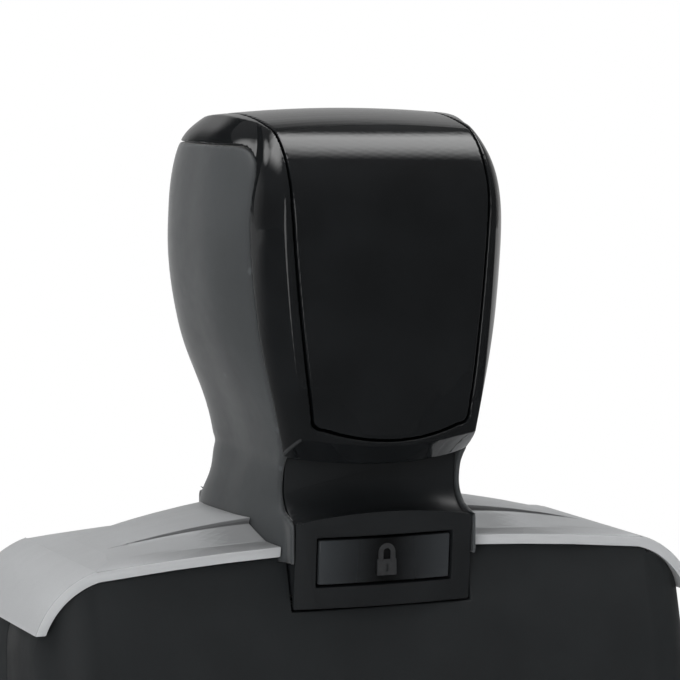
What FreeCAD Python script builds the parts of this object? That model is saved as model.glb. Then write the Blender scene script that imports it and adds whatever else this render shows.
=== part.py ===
import FreeCAD, Part
import math
import os
import Sketcher
from FreeCAD import Placement, Rotation, Vector

# Self-inking date stamp. Origin at the middle of the foot's underside, +Z up,
# the index panel facing -Y, X across the handle. Millimetres.

doc = FreeCAD.newDocument("date_stamp")
sheet = doc.addObject("Spreadsheet::Sheet", "sizes")
nodes = []
rows = []


class Length:
    """A length that knows its number and the expression that gives it."""

    def __init__(self, text, value):
        self.text = text
        self.value = value

    def __add__(self, other):
        other = length(other)
        return Length(f"({self.text} + {other.text})", self.value + other.value)

    def __sub__(self, other):
        other = length(other)
        return Length(f"({self.text} - {other.text})", self.value - other.value)

    def __mul__(self, other):
        other = length(other)
        return Length(f"({self.text} * {other.text})", self.value * other.value)

    def __radd__(self, other):
        return length(other) + self

    def __rsub__(self, other):
        return length(other) - self

    def __rmul__(self, other):
        return length(other) * self

    def __neg__(self):
        return length(0) - self

    def __float__(self):
        return float(self.value)


def length(number):
    """Turn a plain number into a Length, and leave a Length as it is."""
    if isinstance(number, Length):
        return number
    return Length(repr(number), number)


def size(alias, number, note):
    """Write one driving dimension on the sheet and read it back as a Length."""
    rows.append(alias)
    row = len(rows)
    sheet.set(f"A{row}", alias)
    sheet.set(f"B{row}", str(number))
    sheet.set(f"C{row}", note)
    sheet.setAlias(f"B{row}", alias)
    sheet.recompute()
    return Length(f"sizes.{alias}", float(sheet.get(alias)))


# Driving dimensions: the whole stamp
overall_height = size("overall_height", 177, "desk to the top of the handle")
stroke = size("stroke", 34, "how far the handle is pressed down")
steel = size("steel", 1.5, "thickness of the side plates")
wall = size("wall", 1.7, "thickness of the housing walls")
seam = size("seam", 0.2, "open line between two handle shells")
slack = size("slack", 0.3, "gap between parts that move past each other")
pin_fit = size("pin_fit", 0.06, "radial clearance of a pin in its hole")
snug = size("snug", 0.05, "gap round a piece that is pressed in")
play = size("play", 0.1, "gap between pieces that are fitted together")

# Driving dimensions: foot and side plates
foot_half_width = size("foot_half_width", 57, "middle to the foot's end")
foot_half_depth = size("foot_half_depth", 36, "middle to the foot's front")
foot_height = size("foot_height", 12, "height of the foot frame")
foot_corner = size("foot_corner", 12, "corner radius of the foot in plan")
foot_round = size("foot_round", 2.5, "round along the foot's upper edge")
window_half_depth = size("window_half_depth", 18.6, "half depth of the print window")
feet_radius = size("feet_radius", 5, "radius of a rubber foot")
feet_recess = size("feet_recess", 1.2, "how deep a rubber foot is sunk")
feet_edge = size("feet_edge", 10, "middle of a rubber foot to the foot's edges")
plate_room = size("plate_room", 4, "text plate's end to the side plate's inner face")
plate_half_depth = size("plate_half_depth", 16.5, "half depth of a side plate")
plate_bottom = size("plate_bottom", 0.8, "desk to the lower edge of a side plate")
tab_reach = size("tab_reach", 7, "how far a side plate's tab stands out")
tab_start = size("tab_start", 10, "middle to the inner end of a tab")
screw_radius = size("screw_radius", 1.5, "shank radius of the screws")
head_radius = size("head_radius", 2.6, "head radius of the screws")
head_height = size("head_height", 1.5, "head height of the screws")
tab_screw_depth = size("tab_screw_depth", 7, "depth of the foot's screw holes")
screw_edge = size("screw_edge", 3.2, "screw centre to the edge of its sheet")
arm_room = size("arm_room", 1, "space round a yoke arm in the foot")

# Driving dimensions: the flipping type carrier
die_reach = size("die_reach", 13, "flip axle to the printing face")
die_half_width = size("die_half_width", 34, "half width of the text plate")
die_half_depth = size("die_half_depth", 13.5, "half depth of the text plate")
axle_radius = size("axle_radius", 2, "radius of the flip axle stubs")
guide_radius = size("guide_radius", 1.5, "radius of the guide pins")
guide_throw = size("guide_throw", 9.5, "flip axle to the guide pin")
slot_gap = size("slot_gap", 0.12, "clearance of a pin in its slot")
cheek_radius = size("cheek_radius", 11.6, "radius of the carrier's end cheeks")
cheek = size("cheek", 2, "thickness of the carrier's end cheeks")
cheek_gap = size("cheek_gap", 0.6, "gap between a cheek and its side plate")
rib_place = size("rib_place", 11, "middle to the outer face of a carrier rib")
rib_down = size("rib_down", 6, "flip axle down to the ribs' lower edge")
deck = size("deck", 2, "thickness of the carrier's deck")
rubber = size("rubber", 2.2, "thickness of the text plate's back")
relief = size("relief", 0.8, "height of the raised type")
bar_height = size("bar_height", 1.5, "height of a line of raised type")
date_half_width = size("date_half_width", 15, "half width of the date window")
date_half_depth = size("date_half_depth", 4, "half depth of the date frame")
date_margin = size("date_margin", 0.6, "date frame to the edge of its window")

# Driving dimensions: the date mechanism
wheel_drop = size("wheel_drop", 9, "flip axle down to the wheel axle")
wheel_radius = size("wheel_radius", 9, "radius of a date wheel's rim")
drum_radius = size("drum_radius", 5.6, "radius of a date wheel's drum")
rim_width = size("rim_width", 1.4, "width of a date wheel's rim")
notch_radius = size("notch_radius", 0.8, "radius of a finger notch in the rim")
wheel_pitch = size("wheel_pitch", 6.4, "spacing of the date wheels")
wheel_play = size("wheel_play", 0.3, "gap between two date wheels")
band_width = size("band_width", 3.8, "width of a date band")
band_thick = size("band_thick", 0.9, "thickness of a date band")
nose_radius = size("nose_radius", 2, "radius of the nose the bands turn round")
nose_tip = size("nose_tip", 1.1, "radius of the nose's ends")
spindle_radius = size("spindle_radius", 1.2, "radius of the wheel axle")
frame_sheet = size("frame_sheet", 1, "thickness of the date frame")
frame_edge = size("frame_edge", 1.2, "wheel axle down to the frame's edge")
date_ear = size("date_ear", 2.8, "reach of the date frame's ears")
digit_half_depth = size("digit_half_depth", 1.1, "half depth of a raised digit")
digit_margin = size("digit_margin", 0.6, "edge of a band to its digit")

# Driving dimensions: ink cartridge and bridge
pad_gap = size("pad_gap", 0.55, "printing face to the ink pad at rest")
pad_margin = size("pad_margin", 0.2, "how far the ink pad reaches past the text plate")
pad_half_depth = size("pad_half_depth", 15.8, "half depth of the ink pad")
pad_thick = size("pad_thick", 3.5, "thickness of the ink pad")
tray_wall = size("tray_wall", 1, "wall of the ink tray")
tray_half_depth = size("tray_half_depth", 17, "half depth of the ink tray")
tray_floor = size("tray_floor", 1.5, "floor of the ink tray")
pad_proud = size("pad_proud", 0.5, "how far the ink pad stands out of its tray")
lip_half_width = size("lip_half_width", 9, "half width of the tray's grip lip")
lip_down = size("lip_down", 0.6, "tray's top down to the grip lip")
lip_height = size("lip_height", 2.8, "height of the grip lip")
lip_reach = size("lip_reach", 1.2, "how far the grip lip stands out")
runner = size("runner", 1.1, "how far a tray runner stands out")
bridge_flange = size("bridge_flange", 1.4, "thickness of the bridge's flanges")
rail = size("rail", 1.2, "thickness of the cartridge's rails")
rail_reach = size("rail_reach", 2.4, "side plate to the inner edge of a rail")
bridge_thick = size("bridge_thick", 2, "thickness of the bridge's top")
bridge_gap = size("bridge_gap", 0.4, "ink tray to the bridge's underside")
bridge_screw_down = size("bridge_screw_down", 1.85, "bridge's underside down to its screws")
post_radius = size("post_radius", 4, "radius of the spring post")
post_height = size("post_height", 42, "height of the spring post")
post_seat = size("post_seat", 1, "thickness of the spring's seat")

# Driving dimensions: yoke and main spring
arm_clear = size("arm_clear", 0.5, "side plate's back to a yoke arm")
arm = size("arm", 2, "thickness of the yoke")
arm_half_depth = size("arm_half_depth", 8, "half depth of the yoke")
arm_tip = size("arm_tip", 5, "flip axle down to the arm's end")
hub_half_width = size("hub_half_width", 16, "half width of the yoke under the core")
yoke_down = size("yoke_down", 71, "handle top down to the top of the yoke")
bore_radius = size("bore_radius", 8.8, "radius of the spring bore")
bore_down = size("bore_down", 27, "handle top down to the top of the spring bore")
spring_radius = size("spring_radius", 8, "outer radius of the main spring")
spring_wire = size("spring_wire", 1.4, "wire diameter of the main spring")

# Driving dimensions: arched shoulders and housing
crown_down = size("crown_down", 62.1, "handle top down to the arch's crown")
crown_arch = size("crown_arch", 165, "radius of the arch's crest")
band_arch = size("band_arch", 434, "radius of the band's edges")
band_down = size("band_down", 66.4, "handle top down to the band's upper edge")
band_height = size("band_height", 1.6, "height of the bright band")
facet_down = size("facet_down", 65.9, "handle top down to the facet's foot")
band_face = size("band_face", 18.1, "middle to the band's face")
facet_foot = size("facet_foot", 14.5, "middle to the facet's foot")
facet_arch = size("facet_arch", 483, "radius of the facet's foot")
facet_head = size("facet_head", 10, "middle to the step above the facet, at the neck")
facet_taper = size("facet_taper", 0.13, "how fast the step draws in along the arch")
step_height = size("step_height", 1, "height of the step above the facet, at the neck")
step_start = size("step_start", 18, "middle to where the step is highest")
step_end = size("step_end", 42, "middle to where the step runs out")
arch_reach = size("arch_reach", 46, "middle to where the arch starts to turn down")
shoulder_radius = size("shoulder_radius", 14.55, "radius of the shoulder's turn")
shoulder_start = size("shoulder_start", 15.5, "middle to the shoulder's inner end")
shoulder_foot = size("shoulder_foot", 78, "handle top down to the shoulder's lower end")
band_step = size("band_step", 0.8, "how far the band stands before the panel")
facet_skirt = size("facet_skirt", 20, "band's edge down to the shoulders' lower end")
ledge = size("ledge", 6, "facet's foot to the hollow under the shoulders")
housing_low = size("housing_low", 48, "desk to the housing's lower edge at rest")
housing_low_depth = size("housing_low_depth", 35, "half depth of the housing's lower edge")
housing_corner = size("housing_corner", 9, "corner radius of the housing in plan")
mouth_room = size("mouth_room", 2, "yoke arm's back to the side of the access mouth")
mouth_top = size("mouth_top", 71, "desk to the top of the access mouth at rest")
mouth_corner = size("mouth_corner", 5, "corner radius of the access mouth")
boss_radius = size("boss_radius", 3.8, "radius of the housing's screw bosses")
boss_place = size("boss_place", 48.6, "middle to the housing's screw bosses")
boss_down = size("boss_down", 89, "handle top down to the upper screw bosses")
boss_under = size("boss_under", 58, "desk to the lower screw bosses")
boss_screw_depth = size("boss_screw_depth", 8, "middle to a housing screw's hole end")
head_sink = size("head_sink", 4.5, "how deep a housing screw's head is sunk")

# Driving dimensions: handle
core_half_width = size("core_half_width", 13.2, "half width of the handle core")
core_half_depth = size("core_half_depth", 12, "half depth of the handle core")
core_top_down = size("core_top_down", 5.8, "handle top down to the core's top")
core_screw = size("core_screw", 11.3, "middle to the handle screws")
core_screw_depth = size("core_screw_depth", 9, "depth of the core's screw holes")
grip_wall = size("grip_wall", 2.6, "wall of the grip shells")
cap_plane = size("cap_plane", 17, "middle to the seam behind the cap's front")
cap_seam_down = size("cap_seam_down", 5.3, "handle top down to the cap's side seam")
cap_seam_round = size("cap_seam_round", 6, "radius of the cap seam's corner")
cap_foot_down = size("cap_foot_down", 52.6, "handle top down to the cap's lower corners")
cap_foot_sag = size("cap_foot_sag", 1.6, "how far the cap's lower edge hangs in the middle")
dome_radius = size("dome_radius", 62, "radius of the handle's top, seen from the side")
dome_back = size("dome_back", 1, "how far the dome's centre lies behind the middle")
dome_arch = size("dome_arch", 200, "radius of the handle's top, seen from the front")
cover_half_top = size("cover_half_top", 16.2, "half width of the index cover at the top")
cover_half_foot = size("cover_half_foot", 12.9, "half width of the index cover at its foot")
cover_foot_down = size("cover_foot_down", 48.1, "handle top down to the cover's lower corners")
cover_foot_sag = size("cover_foot_sag", 2, "how far the cover's lower edge hangs")
cover_knee_down = size("cover_knee_down", 14, "handle top down to where the cover narrows")
cover_corner = size("cover_corner", 1.8, "corner radius of the cover's foot")
cover_inner = size("cover_inner", 21, "middle to the inside of the cover's front")
cover_inner_round = size("cover_inner_round", 8.5, "inner radius of the cover's bend")
cover_roof = size("cover_roof", 2.8, "thickness of the cover's roof")
cover_back = size("cover_back", 13, "middle to the cover's back end")
cover_gap = size("cover_gap", 0.35, "groove round the index cover")
card_thick = size("card_thick", 0.3, "thickness of the index card")
card_half_width = size("card_half_width", 11, "half width of the index card")
card_foot = size("card_foot", 44, "handle top down to the index card's lower edge")
card_head = size("card_head", 17, "handle top down to the index card's upper edge")
block_half_width = size("block_half_width", 14.8, "half width of the button block")
block_face = size("block_face", 22, "middle to the block's face")
block_foot = size("block_foot", 76.5, "handle top down to the block's lower edge")
block_ceiling = size("block_ceiling", 74.25, "handle top down to the block's hollow")
block_lean = size("block_lean", 1.2, "how far the block's face leans back at its foot")
block_top_down = size("block_top_down", 61.5, "handle top down to the block's front edge")
block_fall = size("block_fall", 1.4, "how far the block's front edge falls to its ends")
neck_half_width = size("neck_half_width", 14.4, "half width of the neck's front piece")
neck_face = size("neck_face", 14.6, "middle to the neck's front at its waist")
button_half_width = size("button_half_width", 11, "half width of a lock button")
button_foot = size("button_foot", 72.7, "handle top down to a lock button's lower edge")
button_head = size("button_head", 65.7, "handle top down to a lock button's upper edge")
button_thick = size("button_thick", 2.6, "thickness of a lock button's plate")
button_travel = size("button_travel", 2.5, "how far a lock button goes in")
button_gap = size("button_gap", 0.4, "gap round a lock button")
button_sunk = size("button_sunk", 0.15, "how far a lock button lies under the block's face")
pocket_depth = size("pocket_depth", 5.6, "depth of the button's pocket")
stem_radius = size("stem_radius", 1.2, "radius of a button's stem")
coil_radius = size("coil_radius", 2.4, "outer radius of a button spring")
coil_wire = size("coil_wire", 0.5, "wire diameter of a button spring")
coil_seat = size("coil_seat", 1, "handle core to a button spring's end")
block_skirt = size("block_skirt", 2.3, "side plate to the inside of the block")

# Places worked out from them
axle_height = die_reach + stroke
plate_face = die_half_width + plate_room
pad_half_width = die_half_width + pad_margin
die_face = axle_height + die_reach
pad_face = die_face + pad_gap
tray_top = pad_face + pad_thick + tray_floor
bridge_low = tray_top + bridge_gap
bridge_top = bridge_low + bridge_thick
wheel_height = axle_height - wheel_drop
plate_back = plate_face + steel
arm_face = plate_back + arm_clear
arm_back = arm_face + arm
mouth_half_width = arm_back + mouth_room
cheek_face = plate_face - cheek_gap
core_top = overall_height - core_top_down
yoke_top = overall_height - yoke_down
bore_top = overall_height - bore_down
shoulder_low = overall_height - shoulder_foot
card_low = overall_height - card_foot
card_high = overall_height - card_head
block_low = overall_height - block_foot
block_clear = overall_height - block_ceiling
button_low = overall_height - button_foot
button_top = overall_height - button_head
neck_piece_top = overall_height - cap_foot_down - seam
block_shelf = overall_height - block_top_down - block_fall
boss_heights = (overall_height - boss_down, boss_under)
cover_bow = 0.35
block_bow = 1.2
nose_height = die_face - relief - play - band_thick - play - nose_radius
flange_low = die_face - 0.6
rail_low = die_face + 1
rail_in = plate_face - rail_reach
feet_place = (foot_half_width - feet_edge, foot_half_depth - feet_edge)
tab_screw = (plate_back + tab_reach - screw_edge, plate_half_depth - screw_edge)
bridge_screw = (plate_half_depth - screw_edge, bridge_low - bridge_screw_down)
wheel_half = (wheel_pitch - wheel_play) * 0.5
wheel_count = 4
notch_count = 20

# Cutting tools run this far past a face, and these reach past the whole stamp
over = 1
beyond = 70
above = 200

# Levels of the handle: distance below the top, the rim beside the index cover (half
# width, depth, depth in the middle), the seam (half width, depth), the widest side,
# the back's depth, how square the back is and how far the bevel bulges
handle_stations = [
    {"down": 0.0, "rim": (15.6, 8.5, 9.0), "seam": (16.2, 6.0), "side": 17.2,
     "back": 12.5, "power": 3.5, "bulge": 0.2},
    {"down": 0.8, "rim": (16.0, 10.8, 11.6), "seam": (16.8, 8.2), "side": 18.6,
     "back": 14.5, "power": 3.5, "bulge": 0.3},
    {"down": 1.9, "rim": (16.2, 13.6, 14.7), "seam": (17.3, 10.8), "side": 19.9,
     "back": 16.4, "power": 3.6, "bulge": 0.3},
    {"down": 3.2, "rim": (16.4, 16.3, 17.5), "seam": (17.9, 12.8), "side": 21.2,
     "back": 17.8, "power": 3.8, "bulge": 0.4},
    {"down": 5.3, "rim": (16.6, 19.1, 20.4), "seam": (18.7, 14.8), "side": 22.4,
     "back": 19.4, "power": 4.0, "bulge": 0.5},
    {"down": 7.5, "rim": (16.9, 20.9, 22.3), "seam": (19.4, 16.0), "side": 23.1,
     "back": 20.3, "power": 4.0, "bulge": 0.6},
    {"down": 11.0, "rim": (17.3, 22.6, 24.0), "seam": (20.3, 16.8), "side": 23.8,
     "back": 20.8, "power": 4.0, "bulge": 0.6},
    {"down": 16.0, "rim": (17.5, 23.3, 24.8), "seam": (20.9, 17.0), "side": 24.3,
     "back": 20.8, "power": 4.0, "bulge": 0.6},
    {"down": 22.0, "rim": (17.3, 23.3, 24.8), "seam": (20.8, 17.0), "side": 24.5,
     "back": 20.6, "power": 4.0, "bulge": 0.6},
    {"down": 28.0, "rim": (16.9, 23.3, 24.8), "seam": (20.3, 17.0), "side": 24.0,
     "back": 20.4, "power": 4.0, "bulge": 0.6},
    {"down": 34.0, "rim": (16.4, 23.3, 24.8), "seam": (19.5, 17.0), "side": 22.8,
     "back": 19.9, "power": 4.2, "bulge": 0.6},
    {"down": 40.0, "rim": (15.8, 23.3, 24.8), "seam": (18.3, 17.0), "side": 20.9,
     "back": 19.0, "power": 4.4, "bulge": 0.5},
    {"down": 46.0, "rim": (15.1, 22.9, 24.8), "seam": (16.9, 17.0), "side": 18.6,
     "back": 17.6, "power": 4.6, "bulge": 0.3},
    {"down": 52.6, "rim": (14.1, 22.3, 24.7), "seam": (15.65, 17.0), "side": 17.0,
     "back": 16.2, "power": 5.0, "bulge": 0.2},
    {"down": 56.0, "rim": (13.8, 22.1, 24.6), "seam": (15.4, 17.0), "side": 16.6,
     "back": 15.8, "power": 5.0, "bulge": 0.2}]

neck_stations = [
    {"down": 52.6, "seam": (15.65, 17.0), "side": 17.0, "back": 16.2, "power": 5.0},
    {"down": 54.6, "seam": (15.45, 15.8), "side": 17.0, "back": 15.9, "power": 5.0},
    {"down": 56.6, "seam": (15.3, 15.1), "side": 17.3, "back": 15.9, "power": 5.0},
    {"down": 58.6, "seam": (15.25, 14.9), "side": 17.7, "back": 16.1, "power": 5.0},
    {"down": 60.6, "seam": (15.3, 15.6), "side": 18.3, "back": 16.6, "power": 5.3},
    {"down": 62.4, "seam": (15.55, 16.9), "side": 18.8, "back": 17.0, "power": 5.6},
    {"down": 64.0, "seam": (15.75, 17.7), "side": 19.0, "back": 17.2, "power": 5.8},
    {"down": 65.7, "seam": (15.85, 18.1), "side": 19.1, "back": 17.3, "power": 6.0},
    {"down": 67.4, "seam": (15.9, 18.3), "side": 19.15, "back": 17.3, "power": 6.0},
    {"down": 69.2, "seam": (15.95, 18.4), "side": 19.2, "back": 17.3, "power": 6.0}]

# Places across where the arch's section is drawn
arch_places = (14, 22, 30, 38, 44, 58)

# The foot of the neck clasps the block: half width, where it starts, its face and the
# distances below the top of its upper edge, behind and in front
clasp_half, clasp_start, clasp_face = 15.6, 15, 20.8
clasp_down, clasp_edge = 61.2, 62.95

# The cap's slanted lower end: its levels and its half width, middle and side fronts
chamfer_from, chamfer_to = 48.44, 56
chamfer_half_width_and_front = [(18, 26.8, 23.4), (18, 20.35, 7.8)]

# Raised bars that stand for lines of text: left end, right end and lower edge
text_lines = [
    (-31, -19, 11), (-17, 3, 11), (5, 29, 11),
    (-28, -12, 8.6), (-10, 12, 8.6), (14, 26, 8.6),
    (-31, -18, 1), (-31, -21, -2.5), (18, 31, 1), (18, 28, -2.5),
    (-28, -6, -10.1), (-4, 9, -10.1), (11, 28, -10.1),
    (-31, -9, -12.5), (-7, 20, -12.5)]


def bind(item, name, value):
    """Tie a property of an object to the expression of a length."""
    item.setExpression(name, length(value).text)


def finish(item, label):
    """Name a finished sub-part and keep it for the hand-over."""
    item.Label = label
    nodes.append(item)
    return item


def feature(label, shape):
    """A sub-part whose shape is worked out with Part's own functions."""
    item = doc.addObject("Part::Feature", label)
    item.Shape = shape
    item.Placement = Placement()
    return finish(item, label)


def box(name, low, high):
    """A block between two corners."""
    item = doc.addObject("Part::Box", name)
    for side, axis, start, end in zip(("Length", "Width", "Height"), "xyz", low, high):
        bind(item, side, length(end) - start)
        bind(item, f"Placement.Base.{axis}", start)
    return item


def rod(name, radius, start, end, along="z"):
    """A cylinder from a start point to a height along one axis."""
    item = doc.addObject("Part::Cylinder", name)
    turns = {
        "x": Rotation(Vector(0, 1, 0), 90),
        "y": Rotation(Vector(1, 0, 0), -90),
        "z": Rotation(),
    }
    item.Placement = Placement(Vector(), turns[along])
    bind(item, "Radius", radius)
    bind(item, "Height", length(end) - start["xyz".index(along)])
    for axis, place in zip("xyz", start):
        bind(item, f"Placement.Base.{axis}", place)
    return item


def fuse(name, items):
    item = doc.addObject("Part::MultiFuse", name)
    item.Shapes = list(items)
    return item


def cut(name, base, tools):
    item = doc.addObject("Part::Cut", name)
    item.Base = base
    item.Tool = tools[0] if len(tools) == 1 else fuse(name + "_tools", tools)
    return item


def group(name, items):
    """Alike fasteners that share one node as separate solids."""
    item = doc.addObject("Part::Compound", name)
    item.Links = list(items)
    return item


def new_body(name):
    return doc.addObject("PartDesign::Body", name)


def sketch(body, name, role, offset=0):
    """A sketch on one of the body's own origin planes."""
    plane = [item for item in body.Origin.OriginFeatures if item.Role == role][0]
    item = body.newObject("Sketcher::SketchObject", name)
    item.AttachmentSupport = [(plane, "")]
    item.MapMode = "FlatFace"
    bind(item, "AttachmentOffset.Base.z", offset)
    return item


def outline(drawing, points):
    """A closed run of straight lines whose corners are tied to lengths."""
    first = drawing.GeometryCount
    values = [Vector(float(length(x)), float(length(y)), 0) for x, y in points]
    count = len(points)
    for index in range(count):
        line = Part.LineSegment(values[index], values[(index + 1) % count])
        drawing.addGeometry(line, False)
    for index in range(count):
        after = first + (index + 1) % count
        drawing.addConstraint(
            Sketcher.Constraint("Coincident", first + index, 2, after, 1))
    for index, (x, y) in enumerate(points):
        for kind, place in (("DistanceX", x), ("DistanceY", y)):
            number = drawing.addConstraint(Sketcher.Constraint(
                kind, -1, 1, first + index, 1, float(length(place))))
            bind(drawing, f"Constraints[{number}]", place)


def rectangle(drawing, left, right, low, high):
    outline(drawing, [(left, low), (right, low), (right, high), (left, high)])


def circle(drawing, x, y, radius):
    ring = drawing.addGeometry(
        Part.Circle(Vector(float(length(x)), float(length(y)), 0),
                    Vector(0, 0, 1), float(length(radius))), False)
    for kind, place in (("DistanceX", x), ("DistanceY", y)):
        number = drawing.addConstraint(
            Sketcher.Constraint(kind, -1, 1, ring, 3, float(length(place))))
        bind(drawing, f"Constraints[{number}]", place)
    number = drawing.addConstraint(
        Sketcher.Constraint("Radius", ring, float(length(radius))))
    bind(drawing, f"Constraints[{number}]", radius)


def pad(body, drawing, depth, name, away=False):
    item = body.newObject("PartDesign::Pad", name)
    item.Profile = drawing
    item.Reversed = away
    bind(item, "Length", depth)
    return item


def pocket(body, drawing, depth, name, away=False):
    item = body.newObject("PartDesign::Pocket", name)
    item.Profile = drawing
    item.Reversed = away
    bind(item, "Length", depth)
    return item


def edges_where(item, test):
    """Names of the edges of an object that pass a test."""
    doc.recompute()
    return [f"Edge{number + 1}" for number, edge in enumerate(item.Shape.Edges)
            if test(edge)]


def upright(edge):
    box_of = edge.BoundBox
    return box_of.XLength < 0.01 and box_of.YLength < 0.01


def fillet(body, base, names, radius, name):
    item = body.newObject("PartDesign::Fillet", name)
    item.Base = (base, names)
    bind(item, "Radius", radius)
    return item


def both_ways(reach_x, reach_y):
    """The four places at plus and minus two distances."""
    return [(sx * reach_x, sy * reach_y) for sx in (-1, 1) for sy in (-1, 1)]


# Base: foot, feet, side plates, bridge and spring post

def foot_frame():
    body = new_body("foot_frame")
    plan = sketch(body, "foot_plan", "XY_Plane")
    rectangle(plan, -foot_half_width, foot_half_width, -foot_half_depth, foot_half_depth)
    slab = pad(body, plan, foot_height, "foot_slab")
    rounded = fillet(body, slab, edges_where(slab, upright), foot_corner, "foot_corners")
    doc.recompute()
    top = rounded.Shape.BoundBox.ZMax
    rim = edges_where(rounded, lambda edge: edge.BoundBox.ZMin > top - 0.01)
    fillet(body, rounded, rim, foot_round, "foot_rim")
    window = sketch(body, "window_plan", "XY_Plane", foot_height)
    window_half = plate_back + play
    rectangle(window, -window_half, window_half, -window_half_depth, window_half_depth)
    pocket(body, window, foot_height, "print_window")
    arm_end = axle_height - stroke - arm_tip - arm_room
    ports = sketch(body, "arm_ports", "XY_Plane", foot_height)
    port_depth = arm_half_depth + arm_room
    port_out = arm_back + arm_room * 0.5
    rectangle(ports, plate_back, port_out, -port_depth, port_depth)
    rectangle(ports, -port_out, -plate_back, -port_depth, port_depth)
    pocket(body, ports, foot_height - arm_end, "arm_pockets")
    soles = sketch(body, "feet_plan", "XY_Plane")
    for sx, sy in both_ways(1, 1):
        circle(soles, sx * feet_place[0], sy * feet_place[1], feet_radius + snug)
    pocket(body, soles, feet_recess, "feet_recesses", away=True)
    holes = sketch(body, "foot_holes", "XY_Plane", foot_height)
    for sx, sy in both_ways(1, 1):
        circle(holes, sx * tab_screw[0], sy * tab_screw[1], screw_radius + pin_fit)
    pocket(body, holes, tab_screw_depth, "screw_holes")
    return finish(body, "foot_frame")


def non_slip_feet():
    pads = [rod(f"rubber_foot_{number}", feet_radius,
                (sx * feet_place[0], sy * feet_place[1], 0), feet_recess)
            for number, (sx, sy) in enumerate(both_ways(1, 1))]
    return finish(group("non_slip_feet", pads), "non_slip_feet")


def slot_wire(points_left, points_right, start_cap, end_cap):
    """A closed slot outline from its two sides and its two round ends."""
    left = Part.BSplineCurve()
    left.interpolate(points_left)
    right = Part.BSplineCurve()
    right.interpolate(points_right[::-1])
    end = Part.Arc(points_left[-1], end_cap, points_right[-1])
    start = Part.Arc(points_right[0], start_cap, points_left[0])
    return Part.Wire([left.toShape(), end.toShape(), right.toShape(), start.toShape()])


def guide_path(turn):
    """Place and direction of the guide pin when the carrier has turned by an angle."""
    throw = float(guide_throw)
    fall = float(stroke) / math.pi
    place = Vector(0, -throw * math.sin(turn),
                   float(axle_height) - fall * turn + throw * math.cos(turn))
    heading = Vector(0, -throw * math.cos(turn), -fall - throw * math.sin(turn))
    return place, heading.normalize()


def guide_slot(low_x, depth):
    """The curved slot that turns the carrier over, as a solid to cut with."""
    half = float(guide_radius + slot_gap)
    steps = 12
    left, right = [], []
    for step in range(steps + 1):
        place, heading = guide_path(math.pi * step / steps)
        across = Vector(0, -heading.z, heading.y) * half
        left.append(place + across)
        right.append(place - across)
    first, first_way = guide_path(0)
    last, last_way = guide_path(math.pi)
    wire = slot_wire(left, right, first - first_way * half, last + last_way * half)
    solid = Part.Face(wire).extrude(Vector(depth, 0, 0))
    solid.translate(Vector(low_x, 0, 0))
    return solid


def block_between(low, high):
    """A plain solid block between two corners."""
    low = Vector(*[float(length(number)) for number in low])
    high = Vector(*[float(length(number)) for number in high])
    return Part.makeBox(high.x - low.x, high.y - low.y, high.z - low.z, low)


def drill(radius, start, end):
    """A plain solid cylinder from one point to another."""
    start = Vector(*[float(length(number)) for number in start])
    end = Vector(*[float(length(number)) for number in end])
    return Part.makeCylinder(float(length(radius)), (end - start).Length, start, end - start)


def mirrored(shape, side):
    """The shape itself on the +X side, or its mirror image on the -X side."""
    return shape if side > 0 else shape.mirror(Vector(), Vector(1, 0, 0))


def side_plate(label, side):
    """A steel side plate with the straight axle slot and the curved guide slot."""
    face, back = float(plate_face), float(plate_back)
    depth = float(plate_half_depth)
    plate = block_between((face, -depth, plate_bottom), (back, depth, bridge_top))
    for way in (-1, 1):
        low_y, high_y = sorted((way * float(tab_start), way * depth))
        tab = block_between((back, low_y, foot_height),
                            (back + float(tab_reach), high_y, foot_height + steel))
        plate = plate.fuse(tab)
    slot_half = float(axle_radius + slot_gap)
    low_axle = float(axle_height - stroke)
    tools = [guide_slot(face - over, float(steel) + 2 * over)]
    tools.append(block_between((face - over, -slot_half, low_axle),
                               (back + over, slot_half, axle_height)))
    for height in (low_axle, float(axle_height)):
        tools.append(drill(slot_half, (face - over, 0, height), (back + over, 0, height)))
    hole = screw_radius + pin_fit
    for way in (-1, 1):
        x, y = float(tab_screw[0]), way * float(tab_screw[1])
        tools.append(drill(hole, (x, y, foot_height - over), (x, y, foot_height + steel + over)))
        y, z = way * float(bridge_screw[0]), bridge_screw[1]
        tools.append(drill(hole, (face - over, y, z), (back + over, y, z)))
    return feature(label, mirrored(plate.cut(tools).removeSplitter(), side))


def pad_bridge():
    """The bridge over the cartridge: a top, two flanges and the cartridge's rails."""
    body = new_body("pad_bridge")
    section = sketch(body, "bridge_section", "XZ_Plane", -plate_half_depth)
    flange_in = plate_face - bridge_flange
    outline(section, [
        (-plate_face, flange_low), (-flange_in, flange_low), (-flange_in, rail_low),
        (-rail_in, rail_low), (-rail_in, rail_low + rail), (-flange_in, rail_low + rail),
        (-flange_in, bridge_low), (flange_in, bridge_low), (flange_in, rail_low + rail),
        (rail_in, rail_low + rail), (rail_in, rail_low), (flange_in, rail_low),
        (flange_in, flange_low), (plate_face, flange_low), (plate_face, bridge_top),
        (-plate_face, bridge_top)])
    pad(body, section, 2 * plate_half_depth, "bridge_run")
    holes = sketch(body, "bridge_holes", "YZ_Plane", -plate_face)
    for way in (-1, 1):
        circle(holes, way * bridge_screw[0], bridge_screw[1], screw_radius + pin_fit)
    pocket(body, holes, 2 * plate_face, "bridge_screw_holes", away=True)
    return finish(body, "pad_bridge")


def spring_post():
    """The post on the bridge that keeps the main spring straight."""
    seat = rod("post_seat", spring_radius, (0, 0, bridge_top), bridge_top + post_seat)
    shaft = rod("post_shaft", post_radius, (0, 0, bridge_top), bridge_top + post_height)
    return finish(fuse("spring_post", [seat, shaft]), "spring_post")


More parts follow.
